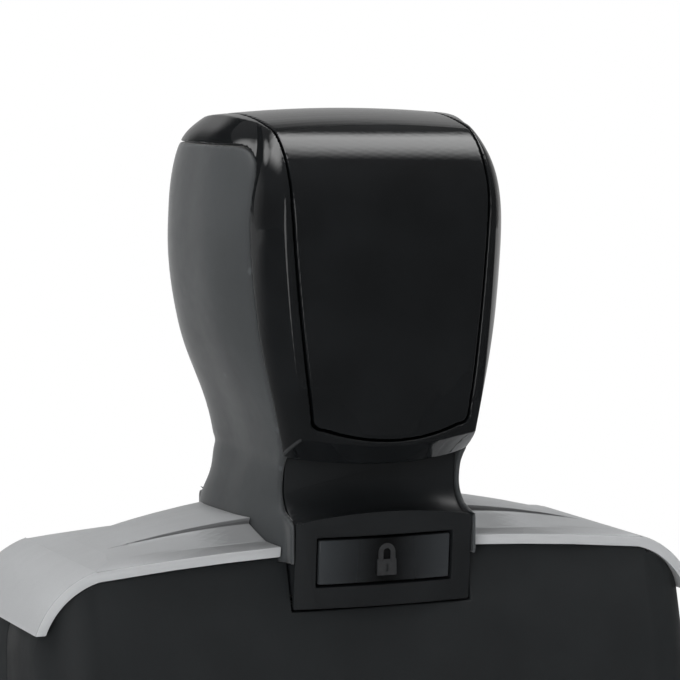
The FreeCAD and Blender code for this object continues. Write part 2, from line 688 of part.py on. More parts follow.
def screw(name, place, along, out, shank):
    """A screw whose head lies on a face: its head points out, its shank goes in."""
    axis = "xyz".index(along)
    far = list(place)
    far[axis] = place[axis] + out * head_height
    deep = list(place)
    deep[axis] = place[axis] - out * shank
    ends = [(place, far[axis]), (deep, place[axis])]
    if out < 0:
        ends = [(far, place[axis]), (place, deep[axis])]
    head = rod(name + "_head", head_radius, ends[0][0], ends[0][1], along)
    body = rod(name + "_shank", screw_radius, ends[1][0], ends[1][1], along)
    return fuse(name, [head, body])


def base_screws():
    across = [screw(f"bridge_screw_{number}", (sx * plate_back, sy * bridge_screw[0],
                                              bridge_screw[1]),
                    "x", sx, steel + bridge_flange - play)
              for number, (sx, sy) in enumerate(both_ways(1, 1))]
    finish(group("bridge_screws", across), "bridge_screws")
    down = [screw(f"foot_screw_{number}", (sx * tab_screw[0], sy * tab_screw[1],
                                          foot_height + steel),
                  "z", 1, steel + tab_screw_depth - play)
            for number, (sx, sy) in enumerate(both_ways(1, 1))]
    finish(group("foot_screws", down), "foot_screws")


# Ink cartridge

def ink_tray():
    """The tray hangs upside down on the rails, with a grip lip at the front."""
    body = new_body("ink_tray")
    half = pad_half_width + tray_wall
    out = half + runner
    low = pad_face + pad_proud
    section = sketch(body, "tray_section", "XZ_Plane", -tray_half_depth)
    runner_low = rail_low + rail + 2 * play
    outline(section, [
        (-half, low), (half, low), (half, runner_low), (out, runner_low),
        (out, runner_low + rail), (half, runner_low + rail), (half, tray_top),
        (-half, tray_top), (-half, runner_low + rail), (-out, runner_low + rail),
        (-out, runner_low), (-half, runner_low)])
    pad(body, section, 2 * tray_half_depth, "tray_run")
    hollow = sketch(body, "tray_hollow", "XY_Plane", pad_face + pad_thick)
    rectangle(hollow, -pad_half_width - snug, pad_half_width + snug,
              -pad_half_depth - snug, pad_half_depth + snug)
    pocket(body, hollow, pad_thick, "pad_space")
    lip = sketch(body, "grip_lip", "XZ_Plane", tray_half_depth)
    lip_top = tray_top - lip_down
    rectangle(lip, -lip_half_width, lip_half_width, lip_top - lip_height, lip_top)
    pad(body, lip, lip_reach, "grip_lip_run")
    return finish(body, "ink_tray")


def ink_pad():
    return finish(box("ink_pad", (-pad_half_width, -pad_half_depth, pad_face),
                      (pad_half_width, pad_half_depth, pad_face + pad_thick)), "ink_pad")


# Type carrier and what flips with it

def type_carrier():
    """Two round cheeks, a deck for the text plate and ribs between them."""
    cheek_in = cheek_face - cheek
    parts = [rod("cheek_right", cheek_radius, (cheek_in, 0, axle_height), cheek_face, "x"),
             rod("cheek_left", cheek_radius, (-cheek_face, 0, axle_height), -cheek_in, "x")]
    deck_top = die_face - relief - rubber
    parts.append(box("carrier_deck", (-cheek_in, -die_half_depth, deck_top - deck),
                     (cheek_in, die_half_depth, deck_top)))
    for name, y in (("front", -rib_place), ("rear", rib_place - deck)):
        parts.append(box(f"rib_{name}", (-cheek_in, y, axle_height - rib_down),
                         (cheek_in, y + deck, deck_top - deck)))
    hole_depth = date_half_depth + date_margin
    tools = [box("date_hole", (-date_half_width, -hole_depth, deck_top - deck - over),
                 (date_half_width, hole_depth, deck_top + over))]
    for name, inner in (("left", -cheek_face - over), ("right", cheek_in - over)):
        outer = inner + cheek + 2 * over
        tools.append(rod(f"axle_hole_{name}", axle_radius, (inner, 0, axle_height), outer, "x"))
        tools.append(rod(f"guide_hole_{name}", guide_radius,
                         (inner, 0, axle_height + guide_throw), outer, "x"))
    carrier = cut("type_carrier", fuse("carrier_whole", parts), tools)
    return finish(carrier, "type_carrier")


def carrier_pins():
    """Axle stubs that end in the yoke arms and guide pins that end in the slots."""
    cheek_in = cheek_face - cheek
    for name, side in (("left", -1), ("right", 1)):
        ends = sorted([side * cheek_in, side * (arm_back + 2 * play)], key=float)
        stub = rod(f"axle_stub_{name}", axle_radius, (ends[0], 0, axle_height), ends[1], "x")
        finish(stub, f"axle_stub_{name}")
        ends = sorted([side * cheek_in, side * plate_back], key=float)
        pin = rod(f"guide_pin_{name}", guide_radius,
                  (ends[0], 0, axle_height + guide_throw), ends[1], "x")
        finish(pin, f"guide_pin_{name}")


def text_plate():
    """Rubber plate with a window for the date and raised bars in place of text."""
    body = new_body("text_plate")
    low = die_face - relief - rubber
    plan = sketch(body, "text_plan", "XY_Plane", low)
    rectangle(plan, -die_half_width, die_half_width, -die_half_depth, die_half_depth)
    hole_depth = date_half_depth + date_margin
    rectangle(plan, -date_half_width, date_half_width, -hole_depth, hole_depth)
    pad(body, plan, rubber, "text_back")
    bars = sketch(body, "text_bars", "XY_Plane", low + rubber)
    for left, right, y in text_lines:
        rectangle(bars, left, right, y, y + bar_height)
    pad(body, bars, relief, "raised_bars")
    return finish(body, "text_plate")


def date_frame():
    """Steel bracket under the deck that holds the wheel axle and the band nose."""
    half = date_half_width - play
    low = wheel_height - spindle_radius - frame_edge
    deck_low = die_face - relief - rubber - deck
    sides = [box(f"date_side_{name}", (x, -date_half_depth, low),
                 (x + frame_sheet, date_half_depth, die_face - 2 * relief))
             for name, x in (("left", -half), ("right", half - frame_sheet))]
    ears = [box(f"date_ear_{name}", (-half, y, deck_low - frame_sheet),
                (half, y + date_ear, deck_low))
            for name, y in (("front", -date_half_depth - date_ear), ("rear", date_half_depth))]
    holes = [rod(name, radius, (-half - over, 0, height), half + over, "x")
             for name, radius, height in (("spindle_hole", spindle_radius, wheel_height),
                                          ("nose_hole", nose_tip, nose_height))]
    frame = cut("date_frame", fuse("date_frame_whole", sides + ears), holes)
    return finish(frame, "date_frame")


def date_wheel(number, x):
    """A setting wheel: drum for the band, rim with finger notches."""
    body = new_body(f"date_wheel_{number}")
    rim = sketch(body, f"rim_plan_{number}", "YZ_Plane", wheel_half - rim_width)
    circle(rim, 0, 0, wheel_radius)
    circle(rim, 0, 0, spindle_radius + pin_fit)
    pad(body, rim, rim_width, f"rim_{number}")
    drum = sketch(body, f"drum_plan_{number}", "YZ_Plane", -wheel_half)
    circle(drum, 0, 0, drum_radius)
    circle(drum, 0, 0, spindle_radius + pin_fit)
    pad(body, drum, 2 * wheel_half - rim_width, f"drum_{number}")
    notch = sketch(body, f"notch_plan_{number}", "YZ_Plane", wheel_half)
    circle(notch, 0, wheel_radius + notch_radius * 0.5, notch_radius)
    first = pocket(body, notch, rim_width, f"notch_{number}")
    ring = body.newObject("PartDesign::PolarPattern", f"notches_{number}")
    ring.Originals = [first]
    ring.Axis = (notch, ["N_Axis"])
    ring.Angle = 360
    ring.Occurrences = notch_count
    body.Tip = ring
    bind(body, "Placement.Base.x", x)
    bind(body, "Placement.Base.z", wheel_height)
    return finish(body, f"date_wheel_{number}")


def band_loop(radius_low, radius_high, low_x, width):
    """The closed outline of a band round drum and nose, as a solid."""
    low = Vector(low_x, 0, float(wheel_height))
    high = Vector(low_x, 0, float(nose_height))
    lean = math.asin((radius_low - radius_high) / (high.z - low.z))
    side = Vector(0, math.cos(lean), math.sin(lean))
    other = Vector(0, -math.cos(lean), math.sin(lean))
    a, b = low + side * radius_low, high + side * radius_high
    c, d = high + other * radius_high, low + other * radius_low
    wire = Part.Wire([
        Part.LineSegment(a, b).toShape(),
        Part.Arc(b, high + Vector(0, 0, radius_high), c).toShape(),
        Part.LineSegment(c, d).toShape(),
        Part.Arc(d, low - Vector(0, 0, radius_low), a).toShape()])
    return Part.Face(wire).extrude(Vector(width, 0, 0))


def date_band(number, x):
    """A rubber band from its wheel's drum up to the printing face."""
    width, thick = float(band_width), float(band_thick)
    left = x - float(rim_width) * 0.5 - width * 0.5
    inner_low = float(drum_radius + play)
    inner_high = float(nose_radius + play)
    loop = band_loop(inner_low + thick, inner_high + thick, left, width)
    loop = loop.cut(band_loop(inner_low, inner_high, left - over, width + 2 * over))
    middle = float(nose_height) + inner_high + thick * 0.5
    margin = float(digit_margin)
    digit = block_between((left + margin, -digit_half_depth, middle),
                          (left + width - margin, digit_half_depth, die_face))
    return feature(f"date_band_{number}", loop.fuse(digit).removeSplitter())


def date_parts():
    half = date_half_width - play
    finish(rod("wheel_axle", spindle_radius, (-half, 0, wheel_height), half, "x"), "wheel_axle")
    roll_half = half - frame_sheet - play
    roll = rod("nose_roll", nose_radius, (-roll_half, 0, nose_height), roll_half, "x")
    tip = rod("nose_tips", nose_tip, (-half, 0, nose_height), half, "x")
    finish(fuse("band_nose", [roll, tip]), "band_nose")
    for number in range(wheel_count):
        x = (number - (wheel_count - 1) / 2) * wheel_pitch
        date_wheel(number + 1, x)
        date_band(number + 1, float(x))


# Yoke, main spring and handle core

def yoke():
    """Steel bow: a plate under the handle and two arms that carry the flip axle."""
    low = axle_height - arm_tip
    parts = [box("yoke_plate", (-arm_back, -arm_half_depth, yoke_top - arm),
                 (arm_back, arm_half_depth, yoke_top)),
             box("yoke_hub", (-hub_half_width, -core_half_depth, yoke_top - arm),
                 (hub_half_width, core_half_depth, yoke_top)),
             box("yoke_arm_left", (-arm_back, -arm_half_depth, low),
                 (-arm_face, arm_half_depth, yoke_top)),
             box("yoke_arm_right", (arm_face, -arm_half_depth, low),
                 (arm_back, arm_half_depth, yoke_top))]
    plate_low = yoke_top - arm - over
    tools = [rod("yoke_bore", bore_radius, (0, 0, plate_low), yoke_top + over),
             rod("yoke_axle_hole", axle_radius + pin_fit,
                 (-arm_back - over, 0, axle_height), arm_back + over, "x")]
    for name, side in (("left", -1), ("right", 1)):
        tools.append(rod(f"yoke_screw_hole_{name}", screw_radius + pin_fit,
                         (side * core_screw, 0, plate_low), yoke_top + over))
    return finish(cut("yoke", fuse("yoke_whole", parts), tools), "yoke")


def main_spring():
    """The hidden main spring as the sleeve its turns fill."""
    low = bridge_top + post_seat
    sleeve = cut("main_spring",
                 rod("spring_outside", spring_radius, (0, 0, low), bore_top),
                 [rod("spring_inside", spring_radius - spring_wire, (0, 0, low - over),
                      bore_top + over)])
    return finish(sleeve, "main_spring")


def handle_core():
    """The column inside the handle, bored for the main spring."""
    body = new_body("handle_core")
    plan = sketch(body, "core_plan", "XY_Plane", yoke_top)
    rectangle(plan, -core_half_width, core_half_width, -core_half_depth, core_half_depth)
    pad(body, plan, core_top - yoke_top, "core_column")
    bore = sketch(body, "core_bore_plan", "XY_Plane", yoke_top)
    circle(bore, 0, 0, bore_radius)
    pocket(body, bore, bore_top - yoke_top, "core_bore", away=True)
    holes = sketch(body, "core_holes_plan", "XY_Plane", yoke_top)
    for side in (-1, 1):
        circle(holes, side * core_screw, 0, screw_radius + pin_fit)
    pocket(body, holes, core_screw_depth, "core_holes", away=True)
    return finish(body, "handle_core")


def handle_screws():
    items = [screw(f"handle_screw_{number}", (side * core_screw, 0, yoke_top - arm),
                   "z", -1, arm + core_screw_depth - play)
             for number, side in enumerate((-1, 1))]
    return finish(group("handle_screws", items), "handle_screws")


# Arched shoulders and housing

def arch_profile(arch, top, reach, turn):
    """Arch, two turned shoulders and straight sides, as a wire in the XZ plane."""
    fall = arch - math.sqrt(arch ** 2 - reach ** 2)
    lean = math.asin(reach / arch)
    start = Vector(reach, 0, top - fall)
    middle = start - Vector(math.sin(lean), 0, math.cos(lean)) * turn
    half = (math.pi / 2 + lean) / 2
    bend = middle + Vector(math.sin(half), 0, math.cos(half)) * turn
    side = middle + Vector(turn, 0, 0)

    def flip(point):
        return Vector(-point.x, 0, point.z)

    foot = Vector(side.x, 0, 0)
    return Part.Wire([
        Part.LineSegment(foot, side).toShape(),
        Part.Arc(side, bend, start).toShape(),
        Part.Arc(start, Vector(0, 0, top), flip(start)).toShape(),
        Part.Arc(flip(start), flip(bend), flip(side)).toShape(),
        Part.LineSegment(flip(side), flip(foot)).toShape(),
        Part.LineSegment(flip(foot), foot).toShape()])


def through_depth(wire, half_depth):
    """An XZ outline made into a solid that reaches from front to back."""
    solid = Part.Face(wire).extrude(Vector(0, 2 * half_depth, 0))
    solid.translate(Vector(0, -half_depth, 0))
    return solid


def through_width(wire, half_width):
    """A YZ outline made into a solid that reaches from side to side."""
    solid = Part.Face(wire).extrude(Vector(2 * half_width, 0, 0))
    solid.translate(Vector(-half_width, 0, 0))
    return solid


def down(distance):
    """A height given as the distance below the handle's top."""
    return float(overall_height) - float(distance)


def crest_body(inset=0.0):
    """Everything under the arch's crest."""
    wire = arch_profile(float(crown_arch) - inset, down(crown_down) - inset,
                        float(arch_reach), float(shoulder_radius) - inset)
    return through_depth(wire, beyond)


def under_band(inset=0.0):
    """Everything under the band's lower edge."""
    turn = float(shoulder_radius) - float(band_height) - inset
    lean = math.asin(float(arch_reach) / float(crown_arch))
    crest_fall = float(crown_arch) * (1 - math.cos(lean))
    middle_x = float(arch_reach) - math.sin(lean) * float(shoulder_radius)
    middle_z = down(crown_down) - crest_fall - math.cos(lean) * float(shoulder_radius)
    top = down(band_down + band_height) - inset
    meet = middle_x + turn * math.sin(lean)
    arch = float(band_arch)
    meet_z = top - (arch - math.sqrt(arch ** 2 - meet ** 2))
    half = (math.pi / 2 + lean) / 2
    bend = Vector(middle_x + turn * math.sin(half), 0, middle_z + turn * math.cos(half))
    side = Vector(middle_x + turn, 0, middle_z)
    start = Vector(meet, 0, meet_z)

    def flip(point):
        return Vector(-point.x, 0, point.z)

    foot = Vector(side.x, 0, 0)
    wire = Part.Wire([
        Part.LineSegment(foot, side).toShape(),
        Part.Arc(side, bend, start).toShape(),
        Part.Arc(start, Vector(0, 0, top), flip(start)).toShape(),
        Part.Arc(flip(start), flip(bend), flip(side)).toShape(),
        Part.LineSegment(flip(side), flip(foot)).toShape(),
        Part.LineSegment(flip(foot), foot).toShape()])
    return through_depth(wire, beyond)


def arch_fall(radius, x):
    """How far an arch has fallen at a place across."""
    return radius - math.sqrt(radius ** 2 - x ** 2)


def arch_section(x):
    """The step, facet, ledge and band at one place across, as a wire in the YZ plane."""
    face, foot = float(band_face), float(facet_foot)
    band_z = down(band_down) - arch_fall(float(band_arch), x)
    foot_z = down(facet_down) - arch_fall(float(facet_arch), x)
    crest_z = down(crown_down) - arch_fall(float(crown_arch), x)
    start, end = float(step_start), float(step_end)
    head = float(facet_head) - float(facet_taper) * (x - start)
    step = float(step_height) * max(0, (end - x) / (end - start))
    head_z = max(crest_z - step, foot_z + float(seam))
    right = [(face, down(band_down + facet_skirt)), (face, band_z), (foot, foot_z),
             (head, head_z), (head, float(overall_height))]
    points = [Vector(x, y, z) for y, z in right]
    points += [Vector(x, -y, z) for y, z in reversed(right)]
    return Part.makePolygon(points + [points[0]])


def stepped_arch():
    """The shoulder's step, facet, ledge and band, drawn through its sections."""
    return Part.makeLoft([arch_section(x) for x in arch_places], True, False)


def shoulders():
    """The two silver covers over the arch, one on each side of the neck."""
    low = down(band_down + facet_skirt)
    inner = facet_foot - ledge
    hollow = crest_body(float(wall)).common(
        block_between((-arch_reach, -inner, low), (arch_reach, inner, above)))
    right = stepped_arch().common(crest_body()).fuse(arch_end_skirt())
    right = right.cut([under_band(), hollow, neck_envelope(float(seam))])
    right = right.common(block_between((shoulder_start, -beyond, shoulder_low),
                                       (beyond, beyond, above))).removeSplitter()
    feature("shoulder_left", mirrored(right, -1))
    feature("shoulder_right", right)


def arch_end_skirt():
    """The part of a shoulder that turns down over the end of the housing."""
    face = float(band_face)
    return crest_body().common(
        block_between((arch_reach, -face, shoulder_low), (beyond, face, above)))


def housing_half_depth(height):
    """Half depth of the housing's outside at a height."""
    top = down(band_down + band_height)
    slope = (float(housing_low_depth) - float(band_face - band_step))
    slope = slope / (top - float(housing_low))
    return float(band_face - band_step) + (top - height) * slope


def rounded_plan(half_width, half_depth, corner, height):
    """A rectangle with round corners, lying at a height."""
    quarter = math.sqrt(0.5) * corner
    x, y = half_width - corner, half_depth - corner
    pieces = []
    for sx, sy in ((1, 1), (-1, 1), (-1, -1), (1, -1)):
        side = Vector(sx * half_width, sy * y, height)
        bend = Vector(sx * (x + quarter), sy * (y + quarter), height)
        end = Vector(sx * x, sy * half_depth, height)
        order = (side, bend, end) if sx * sy > 0 else (end, bend, side)
        pieces.append(order)
    edges = []
    for number, (start, bend, end) in enumerate(pieces):
        edges.append(Part.Arc(start, bend, end).toShape())
        edges.append(Part.LineSegment(end, pieces[(number + 1) % 4][0]).toShape())
    return Part.Wire(edges)


def housing_body(inset):
    """The sloped housing as a solid, inset from its outside."""
    low, high = float(housing_low), down(crown_down)
    width = shoulder_side() - float(band_height) - inset
    corner = float(housing_corner) - inset
    wires = [rounded_plan(width, housing_half_depth(height) - inset, corner, height)
             for height in (low - over if inset else low, high)]
    return Part.makeLoft(wires, True, True).common(under_band(inset + float(snug)))


def shoulder_side():
    """Middle to the outer face of the turned-down shoulder."""
    lean = math.asin(float(arch_reach) / float(crown_arch))
    return float(arch_reach) + (1 - math.sin(lean)) * float(shoulder_radius)


def housing_panels():
    """Front and rear housing shells with the access mouth between their legs."""
    outer = housing_body(0.0)
    inner = housing_body(float(wall))
    mouth = block_between((-mouth_half_width, -beyond, 0),
                          (mouth_half_width, beyond, mouth_top))
    top_edges = [edge for edge in mouth.Edges
                 if edge.BoundBox.ZMin > float(mouth_top) - 0.01
                 and edge.BoundBox.YLength > 1]
    mouth = mouth.makeFillet(float(mouth_corner), top_edges)
    notch_half = block_half_width + slack
    notch = block_between((-notch_half, -beyond, block_low - slack),
                          (notch_half, beyond, above))
    gap = 2 * play
    bow = block_between((-arm_back - gap, -arm_half_depth - gap, shoulder_low),
                        (arm_back + gap, arm_half_depth + gap, yoke_top + gap))
    shell = outer.cut(inner)
    bosses = [drill(boss_radius, (side * boss_place, -beyond, height),
                    (side * boss_place, beyond, height)).common(outer)
              for side in (-1, 1) for height in boss_heights]
    shell = shell.fuse(bosses).cut([mouth, notch, bow])
    holes = []
    for side in (-1, 1):
        for height in boss_heights:
            x = side * float(boss_place)
            face = boss_face(height)
            holes.append(drill(screw_radius + pin_fit, (x, -boss_screw_depth, height),
                               (x, face, height)))
            holes.append(drill(head_radius + play, (x, face, height), (x, beyond, height)))
    shell = shell.cut(holes + [neck_envelope(float(seam))])
    half_seam = float(seam) / 2
    for label, side in (("front_panel", -1), ("rear_panel", 1)):
        ends = sorted((side * half_seam, side * float(beyond)))
        part = shell.common(block_between((-beyond, ends[0], 0), (beyond, ends[1], above)))
        feature(label, part.removeSplitter())


def boss_face(height):
    """Where the head of a housing screw sits."""
    return housing_half_depth(float(height)) - float(head_sink)


def housing_screws():
    items = []
    for side in (-1, 1):
        for height in boss_heights:
            x = side * float(boss_place)
            face = boss_face(height)
            shank = drill(screw_radius, (x, play - boss_screw_depth, height), (x, face, height))
            head = drill(head_radius, (x, face, height), (x, face + head_height, height))
            items.append(shank.fuse(head))
    return feature("housing_screws", Part.makeCompound(items))


# Handle shells

def ring(station, front):
    """One level of the handle. The front is bowed with bevels, or a straight line."""
    z = down(station["down"])
    seam_x, seam_y = station["seam"]
    side = station["side"]
    back = station["back"]
    power = 2 / station["power"]
    points = []
    for share in (1, 2 / 3, 1 / 3, 0):
        points.append((side - (side - seam_x) * share ** 2.2, -seam_y * share))
    for degrees in (20, 40, 60, 78):
        turn = math.radians(degrees)
        points.append((side * math.cos(turn) ** power, back * math.sin(turn) ** power))
    run = [Vector(x, y, z) for x, y in points]
    run.append(Vector(0, back, z))
    run += [Vector(-x, y, z) for x, y in reversed(points)]
    curve = Part.BSplineCurve()
    curve.interpolate(run)
    if not front:
        return Part.Wire([curve.toShape(), Part.LineSegment(run[-1], run[0]).toShape()])
    rim_x, rim_y, middle = station["rim"]
    bulge = station["bulge"]
    rim_right, rim_left = Vector(rim_x, -rim_y, z), Vector(-rim_x, -rim_y, z)
    across = Vector(rim_y - seam_y, -(seam_x - rim_x), 0).normalize()
    halfway = (rim_right + run[0]) * 0.5
    crown = halfway + Vector(abs(across.x), -abs(across.y), 0) * bulge
    crown_left = Vector(-crown.x, crown.y, z)
    return Part.Wire([
        curve.toShape(),
        Part.Arc(run[-1], crown_left, rim_left).toShape(),
        Part.Arc(rim_left, Vector(0, -middle, z), rim_right).toShape(),
        Part.Arc(rim_right, crown, run[0]).toShape()])


def front_bow(half_width, middle, side, height):
    """A plan outline with a bowed front, reaching far back."""
    left, right = Vector(-half_width, -side, height), Vector(half_width, -side, height)
    back_left, back_right = Vector(-half_width, beyond, height), Vector(half_width, beyond, height)
    return Part.Wire([
        Part.Arc(left, Vector(0, -middle, height), right).toShape(),
        Part.LineSegment(right, back_right).toShape(),
        Part.LineSegment(back_right, back_left).toShape(),
        Part.LineSegment(back_left, left).toShape()])


def cap_chamfer():
    """What the slanted lower end of the cap takes off the handle's front."""
    kept = Part.makeLoft([front_bow(*chamfer_half_width_and_front[0], down(chamfer_from)),
                          front_bow(*chamfer_half_width_and_front[1], down(chamfer_to))],
                         True, True)
    half = chamfer_half_width_and_front[0][0]
    return block_between((-half, -beyond, down(chamfer_to)),
                         (half, 0, down(chamfer_from))).cut(kept)


def handle_envelope():
    """The whole outside of the handle above the neck, with its domed top."""
    wires = [ring(station, True) for station in handle_stations]
    solid = Part.makeLoft(wires, True, False)
    radius, arch = float(dome_radius), float(dome_arch)
    centre = Vector(0, float(dome_back), down(arch))
    dome = Part.makeTorus(arch - radius, radius, centre, Vector(0, 1, 0))
    return solid.common(dome).cut(cap_chamfer())


def neck_envelope(room=0.0):
    """The neck under the handle, flaring to the foot that clasps the arch and the block."""
    wires = []
    for station in neck_stations:
        wider = dict(station)
        seam_x, seam_y = station["seam"]
        wider["seam"] = (seam_x + room, seam_y + room)
        wider["side"] = station["side"] + room
        wider["back"] = station["back"] + room
        wires.append(ring(wider, False))
    solid = Part.makeLoft(wires, True, False)
    low = neck_stations[-1]["down"]
    points = [Vector(0, -clasp_start, down(clasp_down)),
              Vector(0, -clasp_face - room, down(clasp_edge - room)),
              Vector(0, -clasp_face - room, down(low)), Vector(0, -clasp_start, down(low))]
    clasp = through_width(Part.makePolygon(points + [points[0]]), clasp_half + room)
    return solid.fuse(clasp).fuse(on_the_rear(clasp))


def corner_region(face, top, radius):
    """Everything behind a plane and under a height, with a round corner, seen sideways."""
    quarter = radius * math.sqrt(0.5)
    bend = Vector(0, -face + radius - quarter, top - radius + quarter)
    points = [Vector(0, -face, 0), Vector(0, -face, top - radius), bend,
              Vector(0, -face + radius, top), Vector(0, beyond, top), Vector(0, beyond, 0)]
    wire = Part.Wire([
        Part.LineSegment(points[0], points[1]).toShape(),
        Part.Arc(points[1], points[2], points[3]).toShape(),
        Part.LineSegment(points[3], points[4]).toShape(),
        Part.LineSegment(points[4], points[5]).toShape(),
        Part.LineSegment(points[5], points[0]).toShape()])
    return through_width(wire, beyond)


def cover_outline(gap):
    """The index cover seen from the front, widened by a gap."""
    top_x = float(cover_half_top) + gap
    foot_x = float(cover_half_foot) + gap
    foot_z = down(cover_foot_down) - gap
    sag = float(cover_foot_sag)
    corner = float(cover_corner)
    knee_z = down(cover_knee_down)
    points = [Vector(top_x, 0, above), Vector(top_x, 0, knee_z),
              Vector(foot_x, 0, foot_z + corner), Vector(foot_x - corner, 0, foot_z)]
    right_bow = Vector((top_x + foot_x) / 2 + cover_bow, 0, (knee_z + foot_z + corner) / 2)
    turn = Vector(foot_x - corner * 0.25, 0, foot_z + corner * 0.25)

    def flip(point):
        return Vector(-point.x, 0, point.z)

    edges = [
        Part.LineSegment(points[0], points[1]),
        Part.Arc(points[1], right_bow, points[2]),
        Part.Arc(points[2], turn, points[3]),
        Part.Arc(points[3], Vector(0, 0, foot_z - sag), flip(points[3])),
        Part.Arc(flip(points[3]), flip(turn), flip(points[2])),
        Part.Arc(flip(points[2]), flip(right_bow), flip(points[1])),
        Part.LineSegment(flip(points[1]), flip(points[0])),
        Part.LineSegment(flip(points[0]), points[0])]
    face = Part.Face(Part.Wire([edge.toShape() for edge in edges]))
    solid = face.extrude(Vector(0, beyond + float(cover_back) + gap, 0))
    solid.translate(Vector(0, -beyond, 0))
    return solid


def cover_zone(gap):
    """The space of the index cover: front leg and roof."""
    inner = corner_region(float(cover_inner) - gap, down(cover_roof) - gap,
                          float(cover_inner_round))
    return cover_outline(gap).cut(inner)


def under_cap_edge():
    """Everything below the cap's lower edge, which hangs in the middle."""
    reach, rise = 22, 0.6
    corner_z = down(cap_foot_down)
    left = Vector(-reach, 0, corner_z + rise)
    right = Vector(reach, 0, corner_z + rise)
    low_left, low_right = Vector(-reach, 0, 0), Vector(reach, 0, 0)
    middle = Vector(0, 0, corner_z - float(cap_foot_sag))
    wire = Part.Wire([
        Part.Arc(left, middle, right).toShape(),
        Part.LineSegment(right, low_right).toShape(),
        Part.LineSegment(low_right, low_left).toShape(),
        Part.LineSegment(low_left, left).toShape()])
    return through_depth(wire, beyond)


def handle_shells():
    """Cap, index cover, index card and the two grip shells."""
    whole = handle_envelope()
    cap_back = corner_region(float(cap_plane), down(cap_seam_down), float(cap_seam_round))
    core_half = core_half_depth + snug
    core = block_between((-core_half_width - snug, -core_half, 0),
                         (core_half_width + snug, core_half, core_top + snug))
    card_face = -cover_inner + cover_gap
    card_edge = card_half_width + play
    recess = block_between((-card_edge, -beyond, card_low - play),
                           (card_edge, card_face + card_thick, card_high + play))
    cap = whole.cut([cap_back, cover_zone(float(cover_gap)), core, recess, under_cap_edge()])
    feature("handle_cap", cap)
    feature("index_cover", whole.common(cover_zone(0)))
    card = block_between((-card_half_width, card_face, card_low),
                         (card_half_width, card_face + card_thick, card_high))
    feature("index_card", card)
    gap = float(seam)
    behind = corner_region(float(cap_plane) - gap, down(cap_seam_down) - gap,
                           float(cap_seam_round))
    low = down(neck_stations[0]["down"])
    upper = whole.common(behind).common(block_between((-beyond, -beyond, low),
                                                      (beyond, beyond, above)))
    hollow = Part.makeLoft([ring(station, False) for station in hollow_stations()], True, False)
    room = []
    for half_width, top in ((neck_half_width, neck_piece_top), (block_half_width, block_shelf)):
        for near, away in ((-beyond, -core_half), (core_half, beyond)):
            room.append(block_between((-half_width - gap, near, 0),
                                      (half_width + gap, away, top + gap)))
    grips = upper.fuse(neck_envelope()).cut([core, hollow] + room)
    for label, side in (("grip_left", -1), ("grip_right", 1)):
        ends = sorted((side * gap / 2, side * float(beyond)))
        half = grips.common(block_between((ends[0], -beyond, 0), (ends[1], beyond, above)))
        feature(label, half.removeSplitter())


def hollow_stations():
    """The inside of the grips: the handle's levels drawn in by the shell's wall."""
    inside = []
    for station in handle_stations:
        if float(core_top_down) + 4 < station["down"] < float(cap_foot_down) - 4:
            inner = dict(station)
            seam_x, seam_y = station["seam"]
            inner["seam"] = (seam_x - float(grip_wall), seam_y - float(grip_wall))
            inner["side"] = station["side"] - float(grip_wall)
            inner["back"] = station["back"] - float(grip_wall)
            inside.append(inner)
    return inside


# Button blocks and lock buttons

def block_level(x, face, edge_z):
    """The block's outline seen from the side, at one place across."""
    inner = float(core_half_depth + snug)
    clear = float(block_clear)
    skirt = float(plate_half_depth + block_skirt)
    top = float(neck_piece_top)
    waist = float(neck_face)
    foot = face - float(block_lean)
    edges = [
        ((-inner, top), (-inner, clear)), ((-inner, clear), (-skirt, clear)),
        ((-skirt, clear), (-skirt, float(block_low))),
        ((-skirt, float(block_low)), (-foot, float(block_low))),
        ((-foot, float(block_low)), (-face, edge_z))]
    shapes = [Part.LineSegment(Vector(x, *start), Vector(x, *end)).toShape()
              for start, end in edges]
    bend_out, bend_up, knee_up, lean = 1.6, 1.2, 4, 0.6
    bend = Vector(x, -waist - bend_out, edge_z + bend_up)
    knee = Vector(x, -waist, edge_z + knee_up)
    head = Vector(x, -waist - lean, top)
    shapes.append(Part.Arc(Vector(x, -face, edge_z), bend, knee).toShape())
    shapes.append(Part.LineSegment(knee, head).toShape())
    shapes.append(Part.LineSegment(head, Vector(x, -inner, top)).toShape())
    return Part.Wire(shapes)


def block_whole():
    """The button block and neck front before its pocket is cut, on the front side."""
    half = float(block_half_width)
    face = float(block_face)
    edge_z = down(block_top_down)
    side_z = float(block_shelf)
    levels = [block_level(-half, face - block_bow, side_z), block_level(0, face, edge_z),
              block_level(half, face - block_bow, side_z)]
    solid = Part.makeLoft(levels, True, False)
    neck = float(neck_half_width)
    sides = [block_between((-half - over, -beyond, block_shelf), (-neck, 0, above)),
             block_between((neck, -beyond, block_shelf), (half + over, 0, above))]
    return solid.cut(sides)


def on_the_rear(shape):
    """The same piece mirrored to the rear side."""
    return shape.mirror(Vector(), Vector(0, 1, 0))


